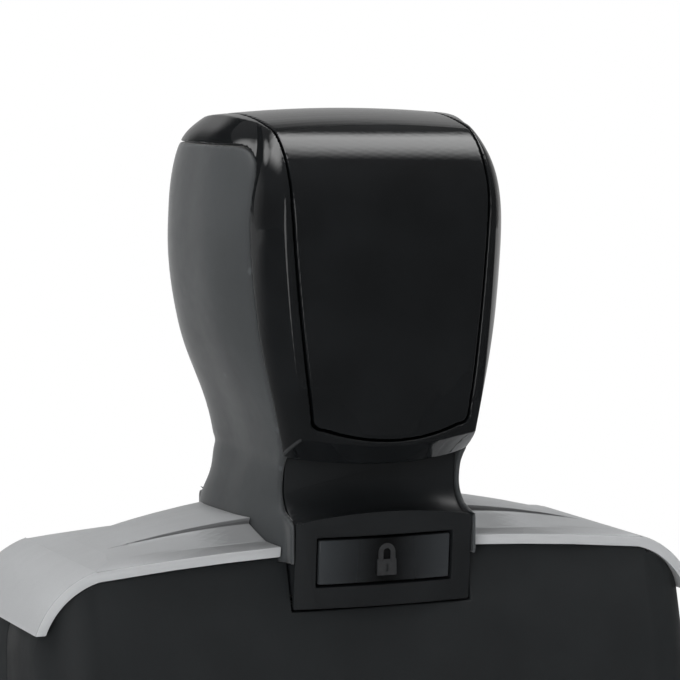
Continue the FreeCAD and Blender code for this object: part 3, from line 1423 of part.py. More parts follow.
def lock_parts():
    """Front and rear block, each with its button and the spring behind it."""
    whole = block_whole()
    side = float(button_half_width)
    low, high = float(button_low), float(button_top)
    floor = -float(block_face) + float(pocket_depth)
    rim = float(button_gap)
    middle = (low + high) / 2
    pocket_space = block_between((-side - rim, -beyond, low - rim), (side + rim, floor, high + rim))
    spring_end = -float(core_half_depth + coil_seat)
    seat = drill(coil_radius + play, (0, floor - over, middle), (0, spring_end, middle))
    block = whole.cut([pocket_space, seat])
    back = -float(block_face) + float(button_thick)
    plate = whole.common(block_between((-side, -beyond, low), (side, back, high)))
    plate.translate(Vector(0, float(button_sunk), 0))
    back = back + float(button_sunk)
    stem_end = spring_end - float(button_travel + play)
    button = plate.fuse(drill(stem_radius, (0, back - over, middle), (0, stem_end, middle)))
    coil = drill(coil_radius, (0, back, middle), (0, spring_end, middle))
    coil = coil.cut(drill(coil_radius - coil_wire, (0, back - over, middle),
                          (0, spring_end + over, middle)))
    for label, shape in (("block", block), ("lock_button", button), ("button_spring", coil)):
        feature(f"{label}_front", shape)
        feature(f"{label}_rear", on_the_rear(shape))


def check_and_write():
    """Stop on any failed object, then write every sub-part."""
    doc.recompute()
    failed = [item.Name for item in doc.Objects
              if "Invalid" in item.State or "Error" in item.State]
    broken = [item.Label for item in nodes
              if item.Shape.isNull() or not item.Shape.isValid() or not item.Shape.Solids]
    if failed or broken:
        raise SystemExit(f"failed: {failed} broken: {broken}")
    os.makedirs("parts", exist_ok=True)
    for item in nodes:
        item.Shape.exportStep(f"parts/{item.Label}.step")
        bounds = item.Shape.BoundBox
        print(f"{item.Label}: {len(item.Shape.Solids)} solids, {item.Shape.Volume:.0f} mm3,"
              f" z {bounds.ZMin:.2f} to {bounds.ZMax:.2f}")
    print(f"{len(nodes)} nodes")


foot_frame()
non_slip_feet()
side_plate("side_plate_left", -1)
side_plate("side_plate_right", 1)
pad_bridge()
spring_post()
base_screws()
ink_tray()
ink_pad()
type_carrier()
carrier_pins()
text_plate()
date_frame()
date_parts()
yoke()
main_spring()
handle_core()
handle_screws()
shoulders()
housing_panels()
housing_screws()
handle_shells()
lock_parts()
check_and_write()
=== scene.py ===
import math

import bpy
from bpy.props import FloatProperty, FloatVectorProperty, IntProperty, PointerProperty
from bpy.types import Operator, Panel, PropertyGroup
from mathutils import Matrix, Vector


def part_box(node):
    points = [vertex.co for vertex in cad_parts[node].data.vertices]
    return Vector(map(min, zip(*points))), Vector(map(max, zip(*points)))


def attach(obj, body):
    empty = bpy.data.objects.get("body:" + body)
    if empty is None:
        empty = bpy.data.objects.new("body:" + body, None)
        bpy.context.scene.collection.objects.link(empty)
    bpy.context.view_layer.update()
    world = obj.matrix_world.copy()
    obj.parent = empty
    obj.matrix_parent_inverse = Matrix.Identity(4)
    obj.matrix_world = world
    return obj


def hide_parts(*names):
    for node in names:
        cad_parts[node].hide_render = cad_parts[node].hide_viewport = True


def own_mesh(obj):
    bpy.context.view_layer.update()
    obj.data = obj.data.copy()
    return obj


bl_info = {
    "name": "Date Stamp Dressing",
    "version": (1, 0, 0),
    "blender": (4, 5, 0),
    "location": "3D View > Sidebar > Stamp",
    "description": "Dresses the packed date stamp with rounded shells, springs, type and finishes",
    "category": "Object",
}

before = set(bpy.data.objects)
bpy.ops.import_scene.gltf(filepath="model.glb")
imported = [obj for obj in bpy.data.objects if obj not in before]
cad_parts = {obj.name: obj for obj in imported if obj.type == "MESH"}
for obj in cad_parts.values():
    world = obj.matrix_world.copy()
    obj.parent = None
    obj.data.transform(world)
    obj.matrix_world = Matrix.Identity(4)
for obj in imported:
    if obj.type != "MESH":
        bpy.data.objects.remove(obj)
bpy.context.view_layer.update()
MM = 0.001
STAMP_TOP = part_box("index_cover")[1].z

DOUBLES = 1e-6       # Vertices of a new mesh that are closer than this are one, in metres
NODE_DOUBLES = 1e-5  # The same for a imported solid, whose triangles are loose
FLAT = 1             # Faces that turn by less than this many degrees are one flat face
ROUNDED = 60         # Shading runs over edges that turn by less than these many degrees:
MACHINED = 35        # on rounded shells, on pieces with small bevels and on turned pieces
TURNED = 40


# Selection and edit mode

def nothing_selected():
    """Leave edit mode and select nothing."""
    if bpy.context.object and bpy.context.object.mode != "OBJECT":
        bpy.ops.object.mode_set(mode="OBJECT")
    bpy.ops.object.select_all(action="DESELECT")


def pick(*pieces):
    """Select only these pieces. The last one becomes the active one."""
    nothing_selected()
    for piece in pieces:
        piece.select_set(True)
    bpy.context.view_layer.objects.active = pieces[-1]


def named(name):
    """Name the piece that was just added, and its mesh."""
    piece = bpy.context.object
    piece.name = name
    piece.data.name = name
    return piece


def edit(piece, kind="FACE", action="SELECT"):
    """Open a piece in edit mode with all of it selected, or nothing."""
    pick(piece)
    bpy.ops.object.mode_set(mode="EDIT")
    bpy.ops.mesh.select_mode(type=kind)
    bpy.ops.mesh.select_all(action=action)


def choose_edges(piece, test):
    """Select the edges whose ends both pass a test of their place, in edit mode."""
    bpy.ops.object.mode_set(mode="OBJECT")
    points = piece.data.vertices
    for edge in piece.data.edges:
        edge.select = all(test(points[end].co) for end in edge.vertices)
    bpy.ops.object.mode_set(mode="EDIT")


def place_in_mesh(piece):
    """Put the piece's place, turn and scale into its mesh."""
    pick(piece)
    bpy.ops.object.transform_apply(location=True, rotation=True, scale=True)
    return piece


def apply_all(piece):
    """Apply every modifier of a piece in its order."""
    pick(piece)
    for modifier in list(piece.modifiers):
        bpy.ops.object.modifier_apply(modifier=modifier.name)
    return piece


def outward(piece):
    """Merge doubles and turn all faces of a closed piece outwards."""
    edit(piece, "VERT")
    bpy.ops.mesh.remove_doubles(threshold=DOUBLES)
    bpy.ops.mesh.normals_make_consistent(inside=False)
    nothing_selected()
    return piece


def smooth(piece, angle):
    """Shade a piece smoothly, but for edges that turn by more than an angle in degrees."""
    pick(piece)
    bpy.ops.object.shade_smooth_by_angle(angle=math.radians(angle))
    return piece


# Modelling steps that several pieces share

def draw_outline(name, points):
    """Draw a closed outline by extruding one vertex from point to point, and fill it."""
    nothing_selected()
    bpy.ops.mesh.primitive_plane_add(size=MM, location=points[0])
    piece = place_in_mesh(named(name))
    edit(piece, "VERT")
    bpy.ops.mesh.merge(type="CENTER")
    for before, after in zip(points, points[1:]):
        step = Vector(after) - Vector(before)
        bpy.ops.mesh.extrude_vertices_move(TRANSFORM_OT_translate={"value": step})
    bpy.ops.mesh.select_all(action="SELECT")
    bpy.ops.mesh.edge_face_add()
    nothing_selected()
    return piece


def thicken(piece, way):
    """Extrude a filled outline into a solid."""
    edit(piece)
    bpy.ops.mesh.extrude_region_move(TRANSFORM_OT_translate={"value": way})
    nothing_selected()
    return outward(piece)


def cut_out(piece, tool):
    """Cut a tool out of a piece. The tool is used up."""
    cut = piece.modifiers.new("cut", "BOOLEAN")
    cut.operation = "DIFFERENCE"
    cut.solver = "EXACT"
    cut.object = tool
    apply_all(piece)
    bpy.data.objects.remove(tool)
    return piece


def block(name, low, high, rounding=0.0):
    """A block between two corners, in millimetres, with its edges rounded."""
    nothing_selected()
    low, high = Vector(low) * MM, Vector(high) * MM
    bpy.ops.mesh.primitive_cube_add(size=1, location=(low + high) / 2)
    piece = named(name)
    piece.scale = high - low
    place_in_mesh(piece)
    if rounding:
        edit(piece, "EDGE")
        bpy.ops.mesh.bevel(offset=rounding * MM, segments=2, affect="EDGES")
        nothing_selected()
    return piece


def turned(name, points, centre, steps):
    """Turn an outline of (radius, height) pairs, in millimetres, once round a vertical axis."""
    base = Vector(centre) * MM
    path = [base + Vector((radius * MM, 0, height * MM)) for radius, height in points]
    piece = draw_outline(name, path)
    edit(piece)
    bpy.ops.mesh.delete(type="ONLY_FACE")
    bpy.ops.mesh.select_mode(type="VERT")
    bpy.ops.mesh.select_all(action="SELECT")
    bpy.ops.mesh.spin(steps=steps, angle=math.tau, center=base, axis=(0, 0, 1))
    nothing_selected()
    return smooth(outward(piece), TURNED)


def node_copy(node, name):
    """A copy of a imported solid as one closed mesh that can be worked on."""
    nothing_selected()
    piece = bpy.data.objects.new(name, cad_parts[node].data.copy())
    piece.data.name = name
    piece.data.materials.clear()
    bpy.context.collection.objects.link(piece)
    pick(piece)
    bpy.ops.mesh.customdata_custom_splitnormals_clear()
    edit(piece, "VERT")
    bpy.ops.mesh.remove_doubles(threshold=NODE_DOUBLES)
    nothing_selected()
    return piece


def soften(piece, grid, rounds, most=190000):
    """Remesh a piece on an even grid, in millimetres, and relax it so that its edges round.
    A mesh of more triangles than the most is thinned out."""
    even = piece.modifiers.new("even grid", "REMESH")
    even.mode = "VOXEL"
    even.voxel_size = grid * MM
    relax = piece.modifiers.new("relax", "SMOOTH")
    relax.factor = 0.5
    relax.iterations = rounds
    apply_all(piece)
    triangles = 2 * len(piece.data.polygons)
    if triangles > most:
        piece.modifiers.new("thin out", "DECIMATE").ratio = most / triangles
        apply_all(piece)
    return smooth(piece, ROUNDED)


def crisp(piece, width, angle=30):
    """Flatten coplanar triangles together and round a machined piece's edges, by a width in
    millimetres, where they turn by more than an angle in degrees."""
    edit(piece)
    bpy.ops.mesh.dissolve_limited(angle_limit=math.radians(FLAT))
    nothing_selected()
    edge = piece.modifiers.new("edge", "BEVEL")
    edge.width = width * MM
    edge.segments = 2
    edge.limit_method = "ANGLE"
    edge.angle_limit = math.radians(angle)
    edge.use_clamp_overlap = False
    apply_all(piece)
    return smooth(outward(piece), MACHINED)


def dressed(piece, material, body, slot, *nodes):
    """Give a finished piece its material, the body it rides on and the nodes it stands for."""
    piece.data.materials.clear()
    piece.data.materials.append(material)
    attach(piece, body)
    if nodes:
        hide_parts(*nodes)
    return piece


def joined(pieces, name):
    """Join pieces into one."""
    pick(*pieces)
    bpy.ops.object.join()
    return named(name)


def twin_of(piece, name):
    """A copy of a finished piece with its own mesh."""
    twin = piece.copy()
    twin.data = piece.data.copy()
    twin.name = name
    twin.data.name = name
    bpy.context.collection.objects.link(twin)
    return twin


def moved_copy(piece, name, offset):
    """A copy of a finished piece, moved by an offset in metres."""
    twin = twin_of(piece, name)
    pick(twin)
    bpy.ops.transform.translate(value=offset)
    return place_in_mesh(twin)


def rear_copy(piece, name):
    """A copy of a front piece, mirrored to the rear."""
    twin = twin_of(piece, name)
    twin.scale.y = -1
    place_in_mesh(twin)
    edit(twin)
    bpy.ops.mesh.flip_normals()
    nothing_selected()
    return twin


# Shader nodes

def add_node(tree, kind, **sockets):
    """A shader node, whose named sockets are set to a value or linked to another socket."""
    item = tree.nodes.new("ShaderNode" + kind)
    for socket, value in sockets.items():
        name = socket.replace("_", " ")
        if isinstance(value, bpy.types.NodeSocket):
            tree.links.new(value, item.inputs[name])
        else:
            item.inputs[name].default_value = value
    return item


def sum_of(tree, operation, *values):
    """Sockets or numbers put together by one kind of sum."""
    result = values[0]
    for value in values[1:]:
        item = tree.nodes.new("ShaderNodeMath")
        item.operation = operation
        for socket, term in zip(item.inputs, (result, value)):
            if isinstance(term, bpy.types.NodeSocket):
                tree.links.new(term, socket)
            else:
                socket.default_value = term
        result = item.outputs[0]
    return result


def ranged(tree, value, start, end, low=0.0, high=1.0):
    """A value taken in a straight line from one range to another."""
    item = add_node(tree, "MapRange", Value=value, From_Min=start, From_Max=end,
                    To_Min=low, To_Max=high)
    return item.outputs["Result"]


def ramp(tree, value, start, end):
    """A soft step from 0 to 1 as a value goes from start to end."""
    step = add_node(tree, "MapRange", Value=value, From_Min=start, From_Max=end)
    step.interpolation_type = "SMOOTHSTEP"
    return step.outputs["Result"]


def mixed(tree, share, first, second):
    """Two colours, or sockets, mixed by a share from 0 to 1."""
    mix = tree.nodes.new("ShaderNodeMix")
    mix.data_type = "RGBA"
    factor, one, other = 0, 6, 7
    for number, term in ((factor, share), (one, first), (other, second)):
        if isinstance(term, bpy.types.NodeSocket):
            tree.links.new(term, mix.inputs[number])
        else:
            mix.inputs[number].default_value = (*term, 1)
    return mix.outputs[2]


def path(tree, kind):
    """1 for one kind of ray, such as camera or glossy rays, and 0 for the others."""
    return tree.nodes.new("ShaderNodeLightPath").outputs[f"Is {kind} Ray"]


def shown(tree, mirrored):
    """1 where the camera or a clear part sees the background, a share in reflections."""
    reflected = sum_of(tree, "MULTIPLY", path(tree, "Glossy"), mirrored)
    return sum_of(tree, "MAXIMUM", path(tree, "Camera"), path(tree, "Transmission"), reflected)


# Finishes

NOISE = (0.3, 0.7)   # Where most of a noise's values lie
EDGE_WEAR_AND_HIGHLIGHT = (0.53, 0.6)   # Pointiness at which an edge begins to be lightened, and is fully lightened: partly rubbed wear, partly a painted highlight
EDGE_WEAR_AND_HIGHLIGHT_SHARE = 0.5           # How far a lightened edge goes to the other colour, as wear and as a painted highlight

# Painted shade and highlight on a shoulder, by how far its faces look to the front or rear: where
# each kind begins and ends
FACET_SHADE, STEP_SHADE, LEDGE_SHADE_FACING = (0.28, 0.36), (0.8, 0.9), (0.1, 0.22)
# Where the outer band, lit by a painted highlight, and the ledge, darkened by painted shade, lie,
# from the middle to the front or rear, and where the ledge's painted shade ends to either side, in
# millimetres
BAND_HIGHLIGHT, LEDGE_SHADE, LEDGE_SHADE_END = (17.2, 17.5), (13.4, 14.2), (28, 40)


def lighter(colour, times):
    """A colour made lighter, or darker when times is less than 1."""
    return tuple(min(tone * times, 1.0) for tone in colour)


class Finish:
    """A Principled material that is built up one layer at a time."""

    def __init__(self, name, colour, roughness, metallic=0.0, **sockets):
        self.material = bpy.data.materials.new(name)
        self.material.use_nodes = True
        self.tree = self.material.node_tree
        self.shader = self.tree.nodes["Principled BSDF"]
        self.colour = tuple(colour)
        sockets.update(Base_Color=(*self.colour, 1), Roughness=roughness, Metallic=metallic)
        for socket, value in sockets.items():
            self.shader.inputs[socket.replace("_", " ")].default_value = value
        self.place = self.tree.nodes.new("ShaderNodeTexCoord").outputs["Object"]

    def noise(self, size, detail, stretch):
        """Noise whose features are about a size in millimetres, stretched along X, Y and Z."""
        place = add_node(self.tree, "Mapping", Vector=self.place, Scale=stretch)
        item = add_node(self.tree, "TexNoise", Vector=place.outputs["Vector"],
                        Scale=1 / (size * MM), Detail=detail, Roughness=0.55)
        return item.outputs["Fac"]

    def size_of(self, vector, axis):
        """How far a vector reaches along one axis, to either side."""
        split = add_node(self.tree, "SeparateXYZ", Vector=vector)
        return sum_of(self.tree, "ABSOLUTE", split.outputs[axis], 0)

    def within(self, value, limits, *ends):
        """A value ranged from where something begins to where it ends, in millimetres."""
        start, end = limits
        return ranged(self.tree, value, start * MM, end * MM, *ends)

    def grain(self, size, height, detail=2.0, stretch=(1, 1, 1)):
        """Small bumps, with their size and height in millimetres."""
        bump = add_node(self.tree, "Bump", Height=self.noise(size, detail, stretch),
                        Strength=1.0, Distance=height * MM)
        self.tree.links.new(bump.outputs["Normal"], self.shader.inputs["Normal"])
        return self

    def uneven(self, size, low, high, stretch=(1, 1, 1)):
        """Roughness that drifts between two values."""
        value = ranged(self.tree, self.noise(size, 3.0, stretch), *NOISE, low, high)
        self.tree.links.new(value, self.shader.inputs["Roughness"])
        return self

    def tinted(self, share, other):
        """The colour so far, turned into another by a share from 0 to 1."""
        base = self.shader.inputs["Base Color"]
        before = base.links[0].from_socket if base.is_linked else self.colour
        self.tree.links.new(mixed(self.tree, share, before, other), base)
        return self

    def mottled(self, size, other):
        """Colour that drifts towards another colour."""
        return self.tinted(ranged(self.tree, self.noise(size, 4.0, (1, 1, 1)), *NOISE), other)

    def painted_side_sheen(self, other, near, far):
        """Colour that turns into another from a near to a far distance from the middle plane,
        in millimetres, as a painted sheen."""
        return self.tinted(self.within(self.size_of(self.place, "X"), (near, far)), other)

    def painted_shoulder_light(self, colour):
        """Painted light and shade on a shoulder: a darker facet and a dark step and ledge as
        painted shade, a bright band as a painted highlight.
        """
        normal = self.tree.nodes.new("ShaderNodeNewGeometry").outputs["True Normal"]
        facing = self.size_of(normal, "Y")
        across, deep = self.size_of(self.place, "X"), self.size_of(self.place, "Y")
        facet_shade = ranged(self.tree, facing, *FACET_SHADE)
        step = ranged(self.tree, facing, *STEP_SHADE)
        band = sum_of(self.tree, "MULTIPLY", step, self.within(deep, BAND_HIGHLIGHT))
        ledge_shade = sum_of(self.tree, "MULTIPLY", ranged(self.tree, facing, *LEDGE_SHADE_FACING, 1.0, 0.0),
                       self.within(deep, LEDGE_SHADE), self.within(across, LEDGE_SHADE_END, 1.0, 0.0))
        # The facet, step and ledge tones are painted shade, the band's tone is a painted highlight
        for share, tone in ((facet_shade, 0.62), (step, 0.3), (band, 1.4), (ledge_shade, 0.3)):
            self.tinted(share, lighter(colour, tone))
        return self

    def worn_and_highlit_edges(self, other):
        """Edges lightened towards another colour: partly rubbed wear, partly a painted highlight.
        """
        edge = self.tree.nodes.new("ShaderNodeNewGeometry").outputs["Pointiness"]
        return self.tinted(ranged(self.tree, edge, *EDGE_WEAR_AND_HIGHLIGHT, 0.0, EDGE_WEAR_AND_HIGHLIGHT_SHARE), other)



def make_finishes(colours):
    """All the materials of the stamp, by name."""
    black = colours.gloss_black
    grip = colours.grip
    steel = colours.steel
    made = {
        "gloss": Finish("polished black", black, 0.06, Specular_IOR_Level=0.55,
                        Coat_Weight=0.35, Coat_Roughness=0.03)
        .uneven(6, 0.05, 0.085).mottled(9, lighter(black, 1.6)),
        "grip": Finish("soft touch grey", grip, 0.5, Specular_IOR_Level=0.32,
                       Sheen_Weight=0.3, Sheen_Roughness=0.35)
        .uneven(4, 0.46, 0.56).mottled(14, lighter(grip, 1.18)).grain(0.22, 0.006)
        .worn_and_highlit_edges(lighter(grip, 2.4)),
        "block": Finish("fine grained black", colours.block, 0.42, Specular_IOR_Level=0.38)
        .uneven(3, 0.38, 0.48).mottled(10, lighter(colours.block, 1.35)).grain(0.16, 0.004)
        .worn_and_highlit_edges(lighter(colours.block, 2)),
        "button": Finish("satin black", lighter(colours.block, 0.25), 0.22,
                         Specular_IOR_Level=0.5)
        # The button turns lighter towards its sides: a painted sheen
        .uneven(5, 0.18, 0.27).painted_side_sheen(lighter(colours.block, 3.2), 1, 11)
        .grain(0.3, 0.002),
        "print": Finish("padlock print", (0.02, 0.021, 0.022), 0.5)
        .uneven(1, 0.45, 0.6).mottled(0.5, (0.03, 0.031, 0.033)),
        "silver": Finish("silver lacquer", colours.silver, 0.44, 0.4, Specular_IOR_Level=0.5,
                         Coat_Weight=0.15, Coat_Roughness=0.3)
        .uneven(2.5, 0.4, 0.5, (0.25, 1, 1)).mottled(0.12, lighter(colours.silver, 0.86))
        # The shoulders' faces get painted shade and highlight by the way they face
        .grain(0.1, 0.0012, stretch=(0.3, 1, 1)).painted_shoulder_light(colours.silver)
        .worn_and_highlit_edges(lighter(colours.silver, 1.3)),
        "panel": Finish("dark housing", colours.panel, 0.5, Specular_IOR_Level=0.35)
        .uneven(5, 0.46, 0.58).mottled(12, lighter(colours.panel, 1.25)).grain(0.3, 0.01)
        .worn_and_highlit_edges(lighter(colours.panel, 1.9)),
        "foot": Finish("black foot", colours.block, 0.45, Specular_IOR_Level=0.45)
        .uneven(4, 0.4, 0.52).mottled(9, lighter(colours.block, 1.4)).grain(0.28, 0.009)
        .worn_and_highlit_edges(lighter(colours.block, 2.4)),
        "steel": Finish("zinc plated sheet", steel, 0.32, 1.0)
        .uneven(1.2, 0.26, 0.4, (1, 1, 0.08)).mottled(7, lighter(steel, 0.8))
        .grain(0.25, 0.0015, stretch=(1, 1, 0.05)).worn_and_highlit_edges(lighter(steel, 1.2)),
        "ground": Finish("ground steel", lighter(steel, 1.2), 0.16, 1.0)
        .uneven(0.6, 0.12, 0.22, (0.1, 1, 1)).mottled(3, lighter(steel, 1.0)),
        "screw": Finish("plated screw", lighter(steel, 0.95), 0.3, 1.0)
        .uneven(0.8, 0.24, 0.38).mottled(1.5, lighter(steel, 0.75)),
        "wire": Finish("drawn spring wire", lighter(steel, 0.9), 0.24, 1.0)
        .uneven(0.5, 0.18, 0.32).mottled(2.5, lighter(steel, 0.7)),
        "carrier": Finish("moulded carrier", colours.panel, 0.48).uneven(3, 0.42, 0.55)
        .mottled(8, lighter(colours.panel, 1.3)).grain(0.3, 0.006),
        "tray": Finish("moulded tray", colours.tray, 0.4).uneven(4, 0.35, 0.48)
        .mottled(8, lighter(colours.tray, 1.3)).grain(0.3, 0.005),
        "felt": Finish("inked felt", colours.ink, 0.85, Sheen_Weight=0.4)
        .uneven(1.5, 0.6, 0.95).mottled(0.8, lighter(colours.ink, 2.0)).grain(0.35, 0.12, 5),
        "rubber": Finish("type rubber", colours.rubber, 0.62, Specular_IOR_Level=0.35)
        .uneven(2, 0.55, 0.7).mottled(5, lighter(colours.rubber, 0.75)).grain(0.2, 0.006),
        "dial": Finish("dial plastic", colours.dial, 0.4).uneven(2, 0.35, 0.48)
        .mottled(4, lighter(colours.dial, 0.85)).grain(0.3, 0.004),
        "sole": Finish("black rubber", (0.02, 0.02, 0.021), 0.7, Specular_IOR_Level=0.35)
        .uneven(2, 0.62, 0.8).mottled(4, (0.035, 0.035, 0.036)).grain(0.25, 0.02),
        "card": Finish("index card", (0.82, 0.81, 0.77), 0.7).uneven(2, 0.65, 0.8)
        .mottled(5, (0.88, 0.87, 0.84)).grain(0.15, 0.004),
    }
    return {name: look.material for name, look in made.items()}


FINISHES = {}


def finish(name):
    """One of the stamp's materials, made on first use."""
    if not FINISHES:
        FINISHES.update(make_finishes(bpy.context.scene.stamp_colours))
    return FINISHES[name]


# Settings a user would change

class StampColours(PropertyGroup):
    """Base colours of the stamp's finishes."""
    gloss_black: FloatVectorProperty(
        name="Cap", description="Polished cap and index cover", subtype="COLOR",
        default=(0.0045, 0.005, 0.0055), min=0, max=1)
    grip: FloatVectorProperty(
        name="Grips", description="Soft sides of the handle", subtype="COLOR",
        default=(0.036, 0.039, 0.041), min=0, max=1)
    block: FloatVectorProperty(
        name="Blocks", description="Button blocks and foot", subtype="COLOR",
        default=(0.0095, 0.0105, 0.0115), min=0, max=1)
    silver: FloatVectorProperty(
        name="Shoulders", description="Silver arch covers", subtype="COLOR",
        default=(0.47, 0.48, 0.49), min=0, max=1)
    panel: FloatVectorProperty(
        name="Housing", description="Dark housing panels", subtype="COLOR",
        default=(0.012, 0.0135, 0.0145), min=0, max=1)
    steel: FloatVectorProperty(
        name="Steel", description="Plates, yoke and pins", subtype="COLOR",
        default=(0.58, 0.58, 0.57), min=0, max=1)
    tray: FloatVectorProperty(
        name="Ink tray", description="Cartridge that holds the ink pad", subtype="COLOR",
        default=(0.03, 0.032, 0.036), min=0, max=1)
    ink: FloatVectorProperty(
        name="Ink", description="Colour that the pad is soaked with", subtype="COLOR",
        default=(0.012, 0.018, 0.11), min=0, max=1)
    rubber: FloatVectorProperty(
        name="Type rubber", description="Text plate and date bands", subtype="COLOR",
        default=(0.42, 0.1, 0.07), min=0, max=1)
    dial: FloatVectorProperty(
        name="Dials", description="Setting wheels of the date", subtype="COLOR",
        default=(0.62, 0.61, 0.57), min=0, max=1)


class StampSizes(PropertyGroup):
    """Sizes of the detail that the dressing adds."""
    shell_rounds: IntProperty(
        name="Shell rounds", description="How often the handle shells' edges are relaxed",
        default=6, min=1, max=16)
    spring_turns: IntProperty(
        name="Spring turns", description="Free turns of the main spring",
        default=11, min=6, max=16)
    spring_wire: FloatProperty(
        name="Spring wire", description="Wire of the main spring", unit="LENGTH",
        default=1.4 * MM, min=0.8 * MM, max=1.6 * MM)
    coil_wire: FloatProperty(
        name="Button wire", description="Wire of the button springs", unit="LENGTH",
        default=0.4 * MM, min=0.2 * MM, max=0.5 * MM)
    lock_width: FloatProperty(
        name="Padlock", description="Width of the padlock on a button", unit="LENGTH",
        default=3.2 * MM, min=2 * MM, max=5 * MM)
    frame_round: FloatProperty(
        name="Sheet edges", description="Rounding of the steel parts' edges, in millimetres",
        default=0.15, min=0.05, max=0.4)


# Width of the photograph, and its scale at the stamp
PHOTO_PIXELS, PIXELS_PER_MM = 680, 6.26


class StampStudio(PropertyGroup):
    """The camera's place and the lamps."""
    azimuth: FloatProperty(
        name="Azimuth", description="Turn of the camera to the left of the front",
        subtype="ANGLE", default=math.radians(22.5))
    elevation: FloatProperty(
        name="Elevation", description="Height of the camera over the horizon",
        subtype="ANGLE", default=math.radians(5.43))
    lens: FloatProperty(
        name="Lens", description="Focal length, in millimetres", default=178.4, min=50, max=600)
    view_width: FloatProperty(
        name="View width", description="Width of the frame at the stamp", unit="LENGTH",
        default=PHOTO_PIXELS / PIXELS_PER_MM * MM)
    softbox: FloatProperty(
        name="Softbox", description="Brightness of the long softbox over the stamp",
        default=3.1, min=0, max=20)
    ceiling: FloatProperty(
        name="Ceiling", description="Brightness of the studio overhead",
        default=0.5, min=0, max=3)
    horizon: FloatProperty(
        name="Horizon", description="Brightness of the studio round the stamp",
        default=0.07, min=0, max=1)
    lamp_power: FloatProperty(
        name="Lamps", description="Factor on the power of all lamps", default=1.0, min=0, max=5)


# Handle

class STAMP_OT_handle(Operator):
    """Round the glossy cap, the index cover and the soft grips, and dress them"""
    bl_idname = "stamp.handle"
    bl_label = "Handle Shells"

    def execute(self, context):
        rounds = context.scene.stamp_sizes.shell_rounds
        shells = (("handle_cap", "gloss", "gloss_black", "handle", 0.2),
                  ("index_cover", "gloss", "gloss_black", "index_cover", 0.18),
                  ("grip_left", "grip", "soft_grip", "handle", 0.35),
                  ("grip_right", "grip", "soft_grip", "handle", 0.35))
        for node, look, slot, body, grid in shells:
            shell = soften(node_copy(node, node + "_shell"), grid, rounds)
            dressed(shell, finish(look), body, slot, node)
        return {"FINISHED"}


# Width of the padlock and height of its foot over the desk, in millimetres
LOCK_WIDTH, LOCK_FOOT = 3.2, 105.4


class STAMP_OT_lock(Operator):
    """Round the button blocks and buttons, and put a padlock on each button"""
    bl_idname = "stamp.lock"
    bl_label = "Lock Buttons"

    def padlock(self, face):
        """A shackle, a body and its keyhole, raised a little on the button's face."""
        unit = bpy.context.scene.stamp_sizes.lock_width / MM / LOCK_WIDTH
        half, outer, inner = LOCK_WIDTH / 2 * unit, 1.4 * unit, 0.62 * unit
        low, mid, top = LOCK_FOOT, LOCK_FOOT + 2.5, LOCK_FOOT + 3.6
        skin, root = face - 0.06, face + 0.3
        body = block("padlock_body", (-half, skin, low), (half, root, mid), 0.05)
        keyhole = block("keyhole", (-0.22, skin - 1, low + 0.6), (0.22, root - 0.1, low + 1.7))
        cut_out(body, keyhole)
        arc = [math.radians(step) for step in range(0, 181, 12)]
        hidden = mid - 0.1
        points = [(outer * math.cos(a), top + outer * math.sin(a)) for a in arc]
        points += [(-outer, hidden), (-inner, hidden)]
        points += [(inner * math.cos(a), top + inner * math.sin(a)) for a in reversed(arc)]
        points += [(inner, hidden), (outer, hidden)]
        outline = [Vector((x, skin, z)) * MM for x, z in points]
        shackle = thicken(draw_outline("padlock_shackle", outline), (0, (root - skin) * MM, 0))
        return joined([shackle, body], "padlock_front")

    def execute(self, context):
        for side in ("front", "rear"):
            block_shell = crisp(node_copy(f"block_{side}", f"block_{side}_shell"), 0.25)
            dressed(block_shell, finish("block"), "handle", "matte_black", f"block_{side}")
            button = crisp(node_copy(f"lock_button_{side}", f"lock_button_{side}_shell"), 0.3)
            dressed(button, finish("button"), f"{side}_button", "satin_black",
                    f"lock_button_{side}")
        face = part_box("lock_button_front")[0].y / MM
        front = self.padlock(face)
        rear = rear_copy(front, "padlock_rear")
        dressed(front, finish("print"), "front_button", "satin_black")
        dressed(rear, finish("print"), "rear_button", "satin_black")
        return {"FINISHED"}


# Silver shoulders and housing

class STAMP_OT_shoulders(Operator):
    """Round the edges of the silver arch covers and paint light and shade on their faces"""
    bl_idname = "stamp.shoulders"
    bl_label = "Silver Shoulders"

    def execute(self, context):
        for side in ("left", "right"):
            shell = crisp(node_copy(f"shoulder_{side}", f"shoulder_{side}_shell"), 0.16, 8)
            dressed(shell, finish("silver"), "handle", "silver_paint", f"shoulder_{side}")
        return {"FINISHED"}


class STAMP_OT_housing(Operator):
    """Round the dark housing panels"""
    bl_idname = "stamp.housing"
    bl_label = "Housing Panels"

    def execute(self, context):
        for side in ("front", "rear"):
            shell = crisp(node_copy(f"{side}_panel", f"{side}_panel_shell"), 0.3)
            dressed(shell, finish("panel"), "handle", "dark_panel", f"{side}_panel")
        return {"FINISHED"}


# Outline of a rubber foot, as (radius, height), and how far apart the four stand across and
# from front to rear, in millimetres
FOOT_PROFILE = ((0.2, 0.35), (1.6, 0.35), (2.0, 0.02), (3.2, 0.02), (3.6, 0.3), (4.1, 0.3),
                (4.4, 0.0), (4.8, 0.12), (4.98, 0.5), (4.98, 1.2), (0.2, 1.2))
FEET_APART = (94, 52)


